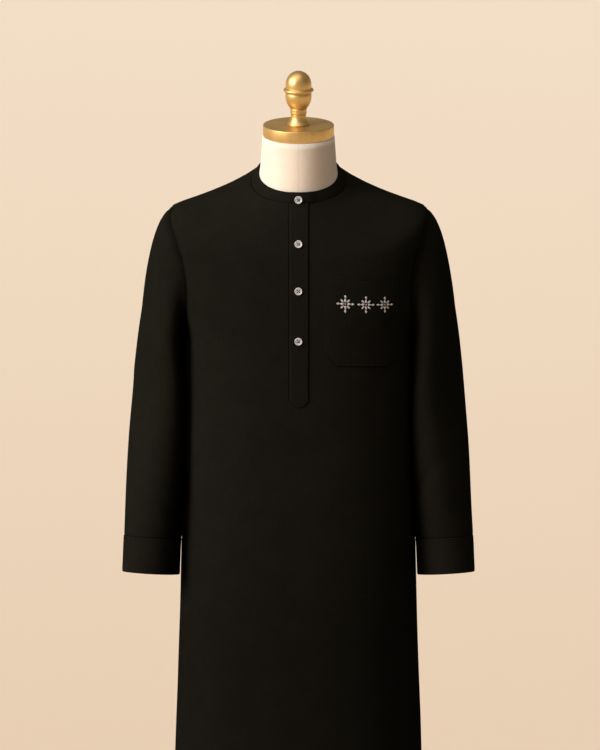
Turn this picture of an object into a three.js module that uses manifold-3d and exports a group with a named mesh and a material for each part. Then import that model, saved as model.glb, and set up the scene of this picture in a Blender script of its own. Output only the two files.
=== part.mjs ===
// A long straight kaftan worn on a tailor's dress form that has no arms or head.
// Millimetres, +Z up, origin on the floor under the middle. The front faces -Y, the wearer's left is +X.
// The body of the garment is a set of sections, each a rounded ring round the form. A section is named by
// its height at the side, and it dips or rises to its own heights at the front and the back, so that the
// topmost ones run over the shoulders to the neckline. All that lies on the body reads these sections.
import * as THREE from "three";
import { mergeVertices } from "three/addons/utils/BufferGeometryUtils.js";
import Module from "manifold-3d";

// Cloth and seams.
const CLOTH = 2;
const SEAM = 0.3;
const SEAM_SETBACK = SEAM / 2;

// Rows of a table as objects whose keys are the table's column names.
const namedRow = (columns, row) => Object.fromEntries(columns.map((name, k) => [name, row[k]]));
const namedRows = (columns, rows) => rows.map((row) => namedRow(columns, row));

// The body, one row for each section from the hem to the neckline. side, front and back are its heights;
// half is its half-width, ahead and behind its depths; square is 2 for an ellipse and more for a boxier
// ring; roll rounds the shoulder over; armFront and armBack are how far forward or back of the middle
// the front and the back panel end there, which is the side seam, the armhole or the shoulder seam.
const BODY = namedRows(
  ["side", "front", "back", "half", "ahead", "behind", "square", "roll", "armFront", "armBack"],
  [
    [120, 120, 120, 225.5, 139, 126, 2.3, 1, 0, 0],
    [500, 500, 500, 206.6, 132, 121, 2.35, 1, 0, 0],
    [850, 850, 850, 195.5, 127, 118, 2.4, 1, 0, 0],
    [1120, 1120, 1120, 190.9, 123.5, 116.5, 2.4, 1, 0, 0],
    [1200, 1200, 1200, 190.4, 122.5, 116, 2.4, 1, 0, 0],
    [1206, 1205, 1206, 189.5, 122.4, 116, 2.4, 1.05, -20, 22],
    [1224, 1219, 1223, 191.3, 122.1, 115.5, 2.4, 1.1, -36, 40],
    [1258, 1245, 1254, 197.5, 121.4, 114.5, 2.4, 1.2, -50, 54],
    [1296, 1273, 1288, 203.7, 120, 112.5, 2.4, 1.3, -58, 61],
    [1334, 1300, 1320, 207.4, 118, 110, 2.4, 1.4, -60, 62],
    [1368, 1324, 1348, 212.7, 115.4, 107, 2.4, 1.5, -58, 58],
    [1398, 1345, 1372, 218.2, 112, 104, 2.4, 1.6, -50, 47],
    [1414, 1356, 1386, 218.2, 110.4, 101.5, 2.4, 1.65, -38, 30],
    [1427, 1366, 1400, 209, 108.6, 99, 2.4, 1.7, -10, -10],
    [1438, 1385, 1423, 180, 103.8, 92, 2.35, 1.6, -9.5, -9.5],
    [1447.3, 1403, 1443, 152, 98, 85, 2.28, 1.45, -9, -9],
    [1456, 1421, 1462, 125, 91.6, 77, 2.2, 1.3, -8, -8],
    [1463.2, 1436, 1480, 100, 86, 69.5, 2.1, 1.1, -7, -7],
    [1469.2, 1450, 1497, 79, 80, 62, 2.05, 1, -6, -6],
  ],
);
const DIP = 1.3;
const UNDERARM = 1200;
const SHOULDER_TIP = 1427;
const NECKLINE = 1469.2;

// Soft folds that deepen from top down to the hem. at is the angle round the body from the middle of
// the front towards the wearer's left, spread and depth are the fold's half-width and how far it goes in.
const HANG_FOLDS = [
  { at: 21, spread: 9, depth: 2.6, top: 900 },
  { at: 52, spread: 11, depth: 4.2, top: 1050 },
  { at: 104, spread: 12, depth: 3.6, top: 980 },
  { at: 139, spread: 10, depth: 4.4, top: 1080 },
  { at: 171, spread: 11, depth: 3.2, top: 900 },
  { at: 212, spread: 12, depth: 4.6, top: 1080 },
  { at: 251, spread: 10, depth: 3.4, top: 960 },
  { at: 303, spread: 12, depth: 4.4, top: 1060 },
  { at: 338, spread: 9, depth: 2.4, top: 860 },
];

// A sleeve below the armpit, for the wearer's left: the middle of each section, its half-width and
// half-depth, how far its outer side (lean) and its front (pitch) are tipped up, and how far it is turned
// so that its front swings in over the body.
const SLEEVE = [
  { z: 807, x: 246, y: -42, half: 49.4, deep: 42, lean: 3.5, pitch: 10, turn: 22 },
  { z: 868, x: 243.8, y: -33, half: 48.2, deep: 48, lean: 3.2, pitch: 9, turn: 24 },
  { z: 922, x: 241.7, y: -28, half: 46.2, deep: 55, lean: 3, pitch: 7, turn: 25 },
  { z: 1025, x: 237.5, y: -16, half: 40.6, deep: 65, lean: 2.8, pitch: 5, turn: 26 },
  { z: 1128, x: 233.3, y: -3, half: 34.5, deep: 74, lean: 2.5, pitch: 3, turn: 22 },
  { z: 1188, x: 231, y: 2, half: 33.4, deep: 77, lean: 2, pitch: 2, turn: 16 },
];
const SLEEVE_TOP = 1188;
const CUFF_SEAM = 868;
const CUFF_HEM = 807;
const CUFF_CLOTH = 2.4;
const CUFF_PROUD = 0.4;
const SLEEVE_HEAD = { outward: 0.9, down: -0.44, share: 0.62, start: 0.17, end: 0.4 };

// Soft folds across a sleeve, from one place to another on it: angles go round the sleeve from its front
// towards its outer side, and heights are those of the sections.
const SLEEVE_FOLDS = {
  left: [
    { fromAngle: -8, fromZ: 1196, toAngle: -62, toZ: 1060, spread: 13, depth: 3 },
    { fromAngle: 30, fromZ: 1010, toAngle: -50, toZ: 930, spread: 12, depth: 2.2 },
    { fromAngle: 150, fromZ: 1150, toAngle: 215, toZ: 1020, spread: 14, depth: 3 },
  ],
  right: [
    { fromAngle: -4, fromZ: 1232, toAngle: -70, toZ: 1090, spread: 14, depth: 3.6 },
    { fromAngle: 40, fromZ: 960, toAngle: -40, toZ: 900, spread: 11, depth: 2 },
    { fromAngle: 145, fromZ: 1120, toAngle: 210, toZ: 980, spread: 14, depth: 3 },
  ],
};

// The standing collar band: its upper edge, and the front end that laps over the other one. It rises over
// so many degrees, and is up by so many before it meets the end underneath.
const BAND_TOP = {
  side: 1482.7,
  front: 1467,
  back: 1514,
  half: 66.4,
  ahead: 75,
  behind: 57,
  square: 1.97,
  roll: 1,
};
const BAND_CLOTH = 2;
const BAND_BULGE = 0.7;
const BAND_LAP = { half: 16.85, lift: CLOTH + SEAM, rise: 14, risen: 1 };

// The placket, which lies on the front panel from the collar down.
const PLACKET = {
  half: 16.85,
  top: 1449.4,
  shoulder: 1123,
  point: 1110,
  sweep: 2.2,
  cloth: 1.5,
  lift: 0.35,
};

// The patch pocket on the wearer's left breast: its sides are plumb, and its mouth and its foot slope down
// by a few degrees towards the side.
const POCKET = { x: 105.5, z: 1329, width: 125, height: 152, chamfer: 20, slant: 5, cloth: 1.3, lift: 0.5 };

// Three stitched stars on the pocket: how far along and below the middle of its mouth each lies, and its
// size beside the first. The outline gives the radius at equal turns, for one of the four arms.
const STARS = [
  { along: -27.9, below: 45.6, size: 1 },
  { along: 6.5, below: 45.6, size: 0.95 },
  { along: 37.5, below: 45.6, size: 0.9 },
];
const STAR_OUTLINE = [14.9, 5.4, 3.6, 5, 9, 5, 3.6, 5.4];
const STAR_ARMS = 4;
const STAR = { thick: 0.8, edge: 0.56, lift: 0.3, inner: 0.45 };

// Four-hole buttons: the first is on the collar band, at this share of its height, the rest on the placket.
const BUTTON = {
  radius: 6.5,
  foot: 5.2,
  rim: 5.8,
  dish: 4.9,
  edge: 0.8,
  shoulder: 1.9,
  top: 2.5,
  floor: 2,
};
const BUTTON_HOLES = { radius: 0.8, ring: 1.9, count: 4, tall: 8 };
const BAND_BUTTON = 0.28;
const PLACKET_BUTTONS = [1385, 1308, 1223.5];

// The dress form: a torso inside the garment, one row for each level ring below the chest, its neck, the
// turned brass cap and knob, and the stand.
const TORSO = [
  { z: 830, half: 146, ahead: 84, behind: 84 },
  { z: 834, half: 156, ahead: 94, behind: 94 },
  { z: 850, half: 163, ahead: 100, behind: 101 },
  { z: 900, half: 168, ahead: 103, behind: 106 },
  { z: 965, half: 169, ahead: 101, behind: 104 },
  { z: 1035, half: 165, ahead: 97, behind: 96 },
  { z: 1105, half: 163, ahead: 97, behind: 92 },
  { z: 1180, half: 169, ahead: 104, behind: 97 },
  { z: 1245, half: 177, ahead: 112, behind: 104 },
];
const TORSO_TOP = 1290;
const TORSO_SQUARE = 2.3;
const ARM_PLATE = 184;
const FORM_CLEAR = 4;
const SHOULDER_CLEAR = 1.5;
const NECK_CLEAR = 1.1;
const NECK = { y: -5, radius: 60.2, top: 1547, ease: 0.5 };
const CAP = { radius: 59.2, height: 19.6, round: 1.6 };
const POLE_RADIUS = 14;

// Turned outlines as (radius, height above the piece's own foot), from the axis to the axis.
const KNOB = {
  skirt: [[0, 0], [18.8, 0], [18.8, 1.2], [17.4, 3], [14.9, 7], [13.2, 11], [12.6, 14.5], [12.8, 17.6]],
  ring: [[13.7, 19.6], [13.7, 27.2]],
  bowl: [[13.5, 27.6], [16.8, 32], [19.9, 38], [21.5, 44], [21.9, 48.6], [21.4, 52.8], [20.6, 54.2]],
  bead: [[23.4, 56.2], [25.2, 58.7], [23.4, 61.2]],
  dome: [[21.7, 62.6], [21.5, 68.4], [19.8, 76.2], [16, 82.8], [10.6, 87.6], [5, 90.4], [0, 91.2]],
};
const STAND_FOOT = {
  plate: [[0, 0], [168, 0], [172, 3], [172, 9], [167, 12], [103.2, 20], [36, 26]],
  socket: [[24, 30], [22, 48], [0, 48]],
};

// How finely the pieces are divided.
const PANEL_COLUMNS = { front: 22, back: 18 };
const ROW_STEPS = [4, 3, 3, 2, 1, 1, 1, 2, 2, 2];
const HEAD_SHARES = [1, 0.86, 0.72, 0.58, 0.45, 0.32, 0.2, 0.1, 0.03, 0];
const SLEEVE_HEIGHTS = [868, 895, 935, 980, 1030, 1080, 1135];
const CUFF_SHARES = [0, 0.5, 1];
const BAND_GRID = { rows: 3, columns: 21 };
const PLACKET_GRID = { rows: 18, columns: 4 };
const POCKET_GRID = { rows: 7, columns: 10 };
const FORM_SIDES = 24;
const TURNED_SIDES = { button: 16, knob: 20, pole: 20, cap: 32, foot: 40 };

const rad = THREE.MathUtils.degToRad;
const clamp = THREE.MathUtils.clamp;
const vector = (x, y, z) => new THREE.Vector3(x, y, z);
const counted = (count, at) => Array.from({ length: count }, (_, k) => at(k));
const evenly = (from, to, steps) => counted(steps + 1, (k) => from + ((to - from) * k) / steps);

// --- Smooth curves through the tables ---

// A curve through (x, y) pairs that stays between neighbouring rows, so that it never swings past them.
function steadyCurve(x, y) {
  const gap = x.slice(1).map((v, i) => v - x[i]);
  const rise = gap.map((g, i) => (y[i + 1] - y[i]) / g);
  const slope = y.map((_, i) => {
    if (i === 0) return rise[0];
    if (i === y.length - 1) return rise[i - 1];
    if (rise[i - 1] * rise[i] <= 0) return 0;
    const before = 2 * gap[i] + gap[i - 1];
    const after = gap[i] + 2 * gap[i - 1];
    return (before + after) / (before / rise[i - 1] + after / rise[i]);
  });
  return (at) => {
    const v = clamp(at, x[0], x[x.length - 1]);
    let i = gap.length - 1;
    while (i > 0 && v < x[i]) i -= 1;
    const t = (v - x[i]) / gap[i];
    const ease = t * t * (3 - 2 * t);
    const bend = gap[i] * t * (1 - t);
    return y[i] + (y[i + 1] - y[i]) * ease + bend * (slope[i] * (1 - t) - slope[i + 1] * t);
  };
}

// Every column of a table as a curve over one of them.
function curvesOver(rows, by) {
  const x = rows.map((row) => row[by]);
  const curves = {};
  for (const key of Object.keys(rows[0])) curves[key] = steadyCurve(x, rows.map((row) => row[key]));
  return (at) => Object.fromEntries(Object.entries(curves).map(([key, curve]) => [key, curve(at)]));
}

// --- The rounded ring that every section of the body is ---

// How far along its depth, 0 at the side and 1 at the middle, a section is at a share of its half-width.
function depthAt(section, across) {
  return (1 - Math.min(1, Math.abs(across)) ** section.square) ** (1 / section.square);
}

// How much of the way from its side height to its front or back height a section is at that depth.
const dipAt = (section, depth) => 1 - (1 - depth ** section.roll) ** DIP;

// A point of a section. angle is 0 at the middle of the front, 90 at the wearer's left, 180 at the back.
function ringPoint(section, angle) {
  const s = Math.sin(rad(angle));
  const c = Math.cos(rad(angle));
  const reach = (Math.abs(s) ** section.square + Math.abs(c) ** section.square) ** (-1 / section.square);
  const depth = reach * c;
  const far = depth >= 0 ? section.front : section.back;
  const z = section.side + (far - section.side) * dipAt(section, Math.abs(depth));
  return vector(section.half * reach * s, -depth * (depth >= 0 ? section.ahead : section.behind), z);
}

const bodySection = curvesOver(BODY, "side");

// How far in the hang folds take the cloth at an angle and height.
function hangFold(angle, height) {
  let inward = 0;
  for (const fold of HANG_FOLDS) {
    const off = (((angle - fold.at + 540) % 360) - 180) / fold.spread;
    const drop = clamp((fold.top - height) / (fold.top - BODY[0].side), 0, 1);
    inward += fold.depth * Math.exp(-off * off) * drop * drop * (3 - 2 * drop);
  }
  return inward;
}

function bodySurface(height, angle) {
  const section = bodySection(height);
  const point = ringPoint(section, angle);
  const middle = vector(0, 0, point.z);
  const inward = middle.sub(point).normalize();
  return point.addScaledVector(inward, hangFold(angle, height));
}

// The way out of a surface, from two short steps on it: to the right and up, seen from outside.
const outOf = (right, up) => right.cross(up).normalize();

function bodyNormal(height, angle) {
  const step = 0.5;
  const right = bodySurface(height, angle + step).sub(bodySurface(height, angle - step));
  const up = bodySurface(height + step, angle).sub(bodySurface(height - step, angle));
  return outOf(right, up);
}

const bodyPoint = (height, angle, out = 0) =>
  bodySurface(height, angle).addScaledVector(bodyNormal(height, angle), out);

// The angle at which a section is y ahead of (negative) or behind the middle, on the wearer's left.
function angleAtY(height, y) {
  const section = bodySection(height);
  const depth = Math.abs(y) / (y <= 0 ? section.ahead : section.behind);
  const across = depthAt(section, depth);
  const angle = THREE.MathUtils.radToDeg(Math.atan2(across, depth));
  return y <= 0 ? angle : 180 - angle;
}

// The point of the body's front at x and z, moved out: the section that passes there is found by halving.
function frontPoint(x, z, out = 0) {
  let low = BODY[0].side;
  let high = NECKLINE;
  for (let i = 0; i < 40; i += 1) {
    const middle = (low + high) / 2;
    const section = bodySection(middle);
    const depth = depthAt(section, x / section.half);
    if (middle + (section.front - middle) * dipAt(section, depth) < z) low = middle;
    else high = middle;
  }
  const section = bodySection(low);
  const across = x / section.half;
  return bodyPoint(low, THREE.MathUtils.radToDeg(Math.atan2(across, depthAt(section, across))), out);
}

// --- Closed solids from grids of points ---

function closedGeometry(points, faces) {
  const geometry = new THREE.BufferGeometry();
  geometry.setAttribute("position", new THREE.Float32BufferAttribute(points.flatMap((p) => p.toArray()), 3));
  geometry.setIndex(faces.flat());
  geometry.computeVertexNormals();
  return geometry;
}

// Two faces for each cell of a grid, split along its shorter diagonal, the same way on both sides of a wall.
function cellFaces(points, a, b, c, d, split = [a, b, c, d]) {
  const [p, q, r, s] = split.map((k) => points[k]);
  return p.distanceTo(r) <= q.distanceTo(s) ? [[a, b, c], [a, c, d]] : [[a, b, d], [b, c, d]];
}

// A wall of cloth. at(row, column) gives its outer and its inner point; rows go up and columns go to the
// right, seen from outside. around joins the last column to the first, and mirrored turns the faces over.
function clothWall(rows, columns, at, { around = false, mirrored = false } = {}) {
  const across = around ? columns : columns + 1;
  const points = [];
  for (let i = 0; i <= rows; i += 1) {
    for (let j = 0; j < across; j += 1) points.push(...at(i, j));
  }
  const outer = (i, j) => 2 * (i * across + (j % across));
  const inner = (i, j) => outer(i, j) + 1;
  const faces = [];
  for (let i = 0; i < rows; i += 1) {
    for (let j = 0; j < columns; j += 1) {
      const cell = [outer(i, j), outer(i, j + 1), outer(i + 1, j + 1), outer(i + 1, j)];
      faces.push(...cellFaces(points, ...cell));
      const [a, b, c, d] = cell.map((k) => k + 1);
      faces.push(...cellFaces(points, d, c, b, a, [cell[3], cell[2], cell[1], cell[0]]));
    }
  }
  for (let j = 0; j < columns; j += 1) {
    faces.push(...cellFaces(points, inner(0, j), inner(0, j + 1), outer(0, j + 1), outer(0, j)));
    faces.push(...cellFaces(points, outer(rows, j), outer(rows, j + 1), inner(rows, j + 1), inner(rows, j)));
  }
  for (let i = 0; !around && i < rows; i += 1) {
    faces.push(...cellFaces(points, inner(i, 0), outer(i, 0), outer(i + 1, 0), inner(i + 1, 0)));
    const last = columns;
    faces.push(...cellFaces(points, outer(i, last), inner(i, last), inner(i + 1, last), outer(i + 1, last)));
  }
  return closedGeometry(points, mirrored ? faces.map((face) => face.reverse()) : faces);
}

// A solid through closed rings of equally many points, from the lowest to the highest, with flat ends.
function loftedSolid(rings) {
  const sides = rings[0].length;
  const points = rings.flat();
  const middleOf = (ring) => ring.reduce((sum, p) => sum.add(p), vector(0, 0, 0)).divideScalar(sides);
  points.push(middleOf(rings[0]), middleOf(rings[rings.length - 1]));
  const at = (i, j) => i * sides + (j % sides);
  const faces = [];
  for (let j = 0; j < sides; j += 1) {
    for (let i = 0; i < rings.length - 1; i += 1) {
      faces.push(...cellFaces(points, at(i, j), at(i, j + 1), at(i + 1, j + 1), at(i + 1, j)));
    }
    faces.push([points.length - 2, at(0, j + 1), at(0, j)]);
    faces.push([points.length - 1, at(rings.length - 1, j), at(rings.length - 1, j + 1)]);
  }
  return closedGeometry(points, faces);
}

// A turned piece from (radius, height) pairs that start and end on the axis, lowest first.
const turnedSolid = (profile, sides) =>
  new THREE.LatheGeometry(profile.map(([r, z]) => new THREE.Vector2(r, z)), sides).rotateX(Math.PI / 2);

// --- Finishes ---

function finish(color, roughness, metalness) {
  return new THREE.MeshStandardMaterial({ color, roughness, metalness });
}

const blackCloth = () => finish(0x15130f, 0.85, 0);
const pearl = () => finish(0xcfcac2, 0.3, 0);
const silverThread = () => finish(0xc4c0ba, 0.55, 0.1);
const creamCanvas = () => finish(0xf3e8d0, 0.7, 0);
const brass = () => finish(0xc9a15c, 0.35, 1);

const kaftan = new THREE.Group();
const dressForm = new THREE.Group();

function add(group, name, geometry, material) {
  const mesh = new THREE.Mesh(geometry, material);
  mesh.name = name;
  group.add(mesh);
  return mesh;
}

// --- Front and back panels ---

// The heights of a panel's rows: the table's own, with the longer stretches divided further.
const panelHeights = BODY.flatMap((row, i) => {
  if (i === BODY.length - 1) return [row.side];
  return evenly(row.side, BODY[i + 1].side, ROW_STEPS[i] ?? 1).slice(0, -1);
});

function panel(columns, angles) {
  return clothWall(panelHeights.length - 1, columns, (i, j) => {
    const height = panelHeights[i];
    const [from, to] = angles(height);
    const angle = from + ((to - from) * j) / columns;
    return [bodyPoint(height, angle), bodyPoint(height, angle, -CLOTH)];
  });
}

const frontEnd = (height) => angleAtY(height, bodySection(height).armFront - SEAM_SETBACK);
const backEnd = (height) => angleAtY(height, bodySection(height).armBack + SEAM_SETBACK);
add(kaftan, "front_panel", panel(PANEL_COLUMNS.front, (h) => [-frontEnd(h), frontEnd(h)]), blackCloth());
add(kaftan, "back_panel", panel(PANEL_COLUMNS.back, (h) => [backEnd(h), 360 - backEnd(h)]), blackCloth());

// --- Sleeves, from the armhole over the arm to the cuff seam ---

const sleeveSection = curvesOver(SLEEVE, "z");

// A point on the straight part of the sleeve. angle is 0 at its front and 90 at its outer side.
function armPoint(z, angle) {
  const section = sleeveSection(z);
  const outward = vector(Math.cos(rad(section.lean)), 0, Math.sin(rad(section.lean)));
  const forward = vector(0, -Math.cos(rad(section.pitch)), Math.sin(rad(section.pitch)));
  const turn = rad(section.turn);
  const across = section.half * Math.sin(rad(angle));
  const ahead = section.deep * Math.cos(rad(angle));
  return vector(section.x, section.y, z)
    .addScaledVector(outward, across * Math.cos(turn) - ahead * Math.sin(turn))
    .addScaledVector(forward, across * Math.sin(turn) + ahead * Math.cos(turn));
}

// The armhole's edge runs through the ends of the panels' own rows, from the underarm to the shoulder tip,
// and the sleeve has a side for each stretch of it, so that the two meet all the way round.
const armholeHeights = panelHeights.filter((h) => h >= UNDERARM && h <= SHOULDER_TIP);
const SLEEVE_SIDES = 2 * (armholeHeights.length - 1);

const armholeSide = (endAngle) =>
  armholeHeights.map((h) => ({ point: bodyPoint(h, endAngle(h)), normal: bodyNormal(h, endAngle(h)) }));
const armholeFront = armholeSide((h) => angleAtY(h, bodySection(h).armFront));
const armholeBack = armholeSide((h) => angleAtY(h, bodySection(h).armBack));

// The armhole's edge by the sleeve's own angle: 90 is the shoulder tip and 270 the underarm.
function armholeEdge(angle) {
  const turn = (((angle - 90) % 360) + 360) % 360;
  const side = turn <= 180 ? armholeBack : armholeFront;
  const place = ((turn <= 180 ? 180 - turn : turn - 180) / 180) * (armholeHeights.length - 1);
  const from = side[Math.floor(place)];
  const to = side[Math.ceil(place)];
  const t = place - Math.floor(place);
  return {
    point: from.point.clone().lerp(to.point, t),
    normal: from.normal.clone().lerp(to.normal, t).normalize(),
  };
}

// Where the sleeve starts: just off the panel's edge, in the direction that leads away from the panel.
function sleeveStart(angle) {
  const edge = armholeEdge(angle);
  const step = 4;
  const along = armholeEdge(angle - step).point.sub(armholeEdge(angle + step).point).normalize();
  const away = edge.normal.clone().cross(along).normalize();
  return { point: edge.point.addScaledVector(away, SEAM), normal: edge.normal, away };
}

// The sleeve's outer surface. Above SLEEVE_TOP the height stands for a share of the curve that each
// line of the sleeve head follows, from the arm up to the armhole.
function headPoint(share, angle) {
  const start = sleeveStart(angle);
  const end = armPoint(SLEEVE_TOP, angle);
  const upArm = end.clone().sub(armPoint(SLEEVE_TOP - 5, angle)).normalize();
  const reach = start.point.distanceTo(end);
  const outward = vector(SLEEVE_HEAD.outward, 0, SLEEVE_HEAD.down);
  const leave = start.away.clone().lerp(outward, SLEEVE_HEAD.share).normalize();
  const first = start.point.clone().addScaledVector(leave, reach * SLEEVE_HEAD.start);
  const second = end.clone().addScaledVector(upArm, reach * SLEEVE_HEAD.end);
  return new THREE.CubicBezierCurve3(start.point, first, second, end).getPoint(share);
}

// How far in a fold takes the sleeve at an angle and height: a trough along the line between its ends.
function sleeveFold(folds, angle, z) {
  const width = 0.7;
  let inward = 0;
  for (const fold of folds) {
    const run = vector((fold.toAngle - fold.fromAngle) * width, fold.toZ - fold.fromZ, 0);
    const turned = ((angle - fold.fromAngle + 540) % 360) - 180;
    const place = vector(turned * width, z - fold.fromZ, 0);
    const t = clamp(place.dot(run) / run.lengthSq(), 0, 1);
    const off = place.addScaledVector(run, -t).length() / fold.spread;
    inward += fold.depth * Math.exp(-off * off) * Math.sin(Math.PI * (0.1 + 0.8 * t));
  }
  return inward;
}

function sleeveSurface(folds, share, z, angle) {
  const point = share < 1 ? headPoint(share, angle) : armPoint(z, angle);
  const section = sleeveSection(Math.min(z, SLEEVE_TOP));
  const inward = vector(section.x, section.y, point.z).sub(point).normalize();
  return point.addScaledVector(inward, sleeveFold(folds, angle, point.z) * (share < 1 ? share : 1));
}

// Rows of a sleeve from the cuff seam up: a height on the arm, or a share of the sleeve head.
const sleeveRows = [
  ...SLEEVE_HEIGHTS.map((z) => ({ share: 1, z })),
  ...HEAD_SHARES.map((share) => ({ share, z: SLEEVE_TOP })),
];

function sleevePoint(folds, row, angle) {
  const step = { share: 0.02, z: 2, angle: 2 };
  const at = (share, z, a) => sleeveSurface(folds, share, z, a);
  const outer = at(row.share, row.z, angle);
  if (row.share === 0) return [outer, outer.clone().addScaledVector(sleeveStart(angle).normal, -CLOTH)];
  const right = at(row.share, row.z, angle + step.angle).sub(at(row.share, row.z, angle - step.angle));
  const up =
    row.share < 1
      ? at(row.share - step.share, row.z, angle).sub(at(row.share + step.share / 2, row.z, angle))
      : at(1, row.z, angle).sub(at(1, row.z - step.z, angle));
  return [outer, outer.clone().addScaledVector(outOf(right, up), -CLOTH)];
}

// A piece made for the wearer's left is mirrored for the right.
const sided = (points, mirrored) => points.map((p) => (mirrored ? vector(-p.x, p.y, p.z) : p));

function sleeve(side) {
  const mirrored = side === "right";
  return clothWall(
    sleeveRows.length - 1,
    SLEEVE_SIDES,
    (i, j) => sided(sleevePoint(SLEEVE_FOLDS[side], sleeveRows[i], (360 * j) / SLEEVE_SIDES), mirrored),
    { around: true, mirrored },
  );
}

// The cuff: a doubled band that goes on where the sleeve ends, a little proud of it.
function cuff(side) {
  const mirrored = side === "right";
  const top = CUFF_SEAM - SEAM;
  return clothWall(
    CUFF_SHARES.length - 1,
    SLEEVE_SIDES,
    (i, j) => {
      const angle = (360 * j) / SLEEVE_SIDES;
      const z = CUFF_HEM + (top - CUFF_HEM) * CUFF_SHARES[i];
      const surface = armPoint(z, angle);
      const right = armPoint(z, angle + 2).sub(armPoint(z, angle - 2));
      const out = outOf(right, armPoint(z + 2, angle).sub(armPoint(z - 2, angle)));
      const outer = surface.clone().addScaledVector(out, CUFF_PROUD);
      return sided([outer, outer.clone().addScaledVector(out, -CUFF_CLOTH)], mirrored);
    },
    { around: true, mirrored },
  );
}

for (const side of ["left", "right"]) {
  add(kaftan, `sleeve_${side}`, sleeve(side), blackCloth());
  add(kaftan, `cuff_${side}`, cuff(side), blackCloth());
}

// --- Collar band, which starts under its own lapped end and goes once round the neck ---

// The band's surface at an angle round the neck and a share of its height.
function bandSurface(angle, share) {
  const foot = ringPoint(bodySection(NECKLINE), angle);
  const top = ringPoint(BAND_TOP, angle);
  const up = top.clone().sub(foot).normalize();
  const away = vector(foot.x, foot.y, 0).normalize();
  const point = foot.addScaledVector(up, SEAM).lerp(top, share);
  return point.addScaledVector(away, BAND_BULGE * Math.sin(Math.PI * share));
}

function bandPoint(angle, share, out = 0) {
  const right = bandSurface(angle + 1, share).sub(bandSurface(angle - 1, share));
  const up = bandSurface(angle, share + 0.05).sub(bandSurface(angle, share - 0.05));
  return bandSurface(angle, share).addScaledVector(outOf(right, up), out);
}

const lapAngle = THREE.MathUtils.radToDeg(Math.atan2(BAND_LAP.half, bodySection(NECKLINE).half));
const lapStart = 360 - lapAngle - BAND_LAP.rise;
const lapRisen = 360 - lapAngle - BAND_LAP.risen;
const bandAngles = [
  ...evenly(-lapAngle, lapAngle, 2),
  ...evenly(lapAngle + BAND_LAP.rise, lapStart, BAND_GRID.columns),
  lapRisen,
  360,
  360 + lapAngle,
];

// The under end starts at the wearer's right of the middle; the upper end comes round and ends there too.
const bandLift = (angle) => BAND_LAP.lift * clamp((angle - lapStart) / (lapRisen - lapStart), 0, 1);

const collarBand = clothWall(BAND_GRID.rows, bandAngles.length - 1, (i, j) => {
  const turn = bandAngles[bandAngles.length - 1 - j];
  const share = i / BAND_GRID.rows;
  return [bandPoint(-turn, share, bandLift(turn)), bandPoint(-turn, share, bandLift(turn) - BAND_CLOTH)];
});
add(kaftan, "collar_band", collarBand, blackCloth());

// --- Placket, with a shallow point at its foot ---

function placketPoint(across, share, out) {
  const x = PLACKET.half * across;
  const foot = PLACKET.point + (PLACKET.shoulder - PLACKET.point) * Math.abs(across) ** PLACKET.sweep;
  return frontPoint(x, foot + (PLACKET.top - foot) * share, PLACKET.lift + out);
}

const placket = clothWall(PLACKET_GRID.rows, PLACKET_GRID.columns, (i, j) => {
  const across = (2 * j) / PLACKET_GRID.columns - 1;
  const share = i / PLACKET_GRID.rows;
  return [placketPoint(across, share, PLACKET.cloth), placketPoint(across, share, 0)];
});
add(kaftan, "placket", placket, blackCloth());

// --- Patch pocket, with its lower corners cut off ---

// The point of the breast that is so far along the pocket's mouth and so far straight below it.
function pocketPoint(along, below, out) {
  const slant = rad(POCKET.slant);
  const x = POCKET.x + along * Math.cos(slant);
  const z = POCKET.z - along * Math.sin(slant) - below;
  return frontPoint(x, z, POCKET.lift + out);
}

const pocketSide = POCKET.height - POCKET.chamfer;
const pocketRows = [
  POCKET.height,
  POCKET.height - POCKET.chamfer / 2,
  ...evenly(pocketSide, 0, POCKET_GRID.rows),
];

const pocket = clothWall(pocketRows.length - 1, POCKET_GRID.columns, (i, j) => {
  const below = pocketRows[i];
  const cut = Math.max(0, below - pocketSide);
  const along = ((2 * j) / POCKET_GRID.columns - 1) * (POCKET.width / 2 - cut);
  return [pocketPoint(along, below, POCKET.cloth), pocketPoint(along, below, 0)];
});
add(kaftan, "chest_pocket", pocket, blackCloth());

// --- Stitched stars on the pocket ---

function starRing(star, scale, out) {
  const count = STAR_OUTLINE.length * STAR_ARMS;
  return counted(count, (k) => {
    const radius = STAR_OUTLINE[k % STAR_OUTLINE.length] * star.size * scale;
    const turn = (2 * Math.PI * k) / count;
    const along = star.along + radius * Math.cos(turn);
    const below = star.below - radius * Math.sin(turn);
    return pocketPoint(along, below, POCKET.cloth + STAR.lift + out);
  });
}

STARS.forEach((star, k) => {
  const rings = [
    starRing(star, STAR.inner, 0),
    starRing(star, 1, 0),
    starRing(star, 1, STAR.edge),
    starRing(star, STAR.inner, STAR.thick),
  ];
  add(kaftan, `star_${k + 1}`, loftedSolid(rings), silverThread());
});

// --- Four-hole buttons ---

const wasm = await Module();
wasm.setup();

function toManifold(geometry) {
  const plain = geometry.clone().deleteAttribute("normal").deleteAttribute("uv");
  const merged = mergeVertices(plain, 1e-4);
  return new wasm.Manifold(
    new wasm.Mesh({
      numProp: 3,
      vertProperties: merged.attributes.position.array,
      triVerts: new Uint32Array(merged.index.array),
    }),
  );
}

function fromManifold(solid) {
  const mesh = solid.getMesh();
  const geometry = new THREE.BufferGeometry();
  geometry.setAttribute("position", new THREE.BufferAttribute(new Float32Array(mesh.vertProperties), 3));
  geometry.setIndex(new THREE.BufferAttribute(new Uint32Array(mesh.triVerts), 1));
  geometry.computeVertexNormals();
  return geometry;
}

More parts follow.
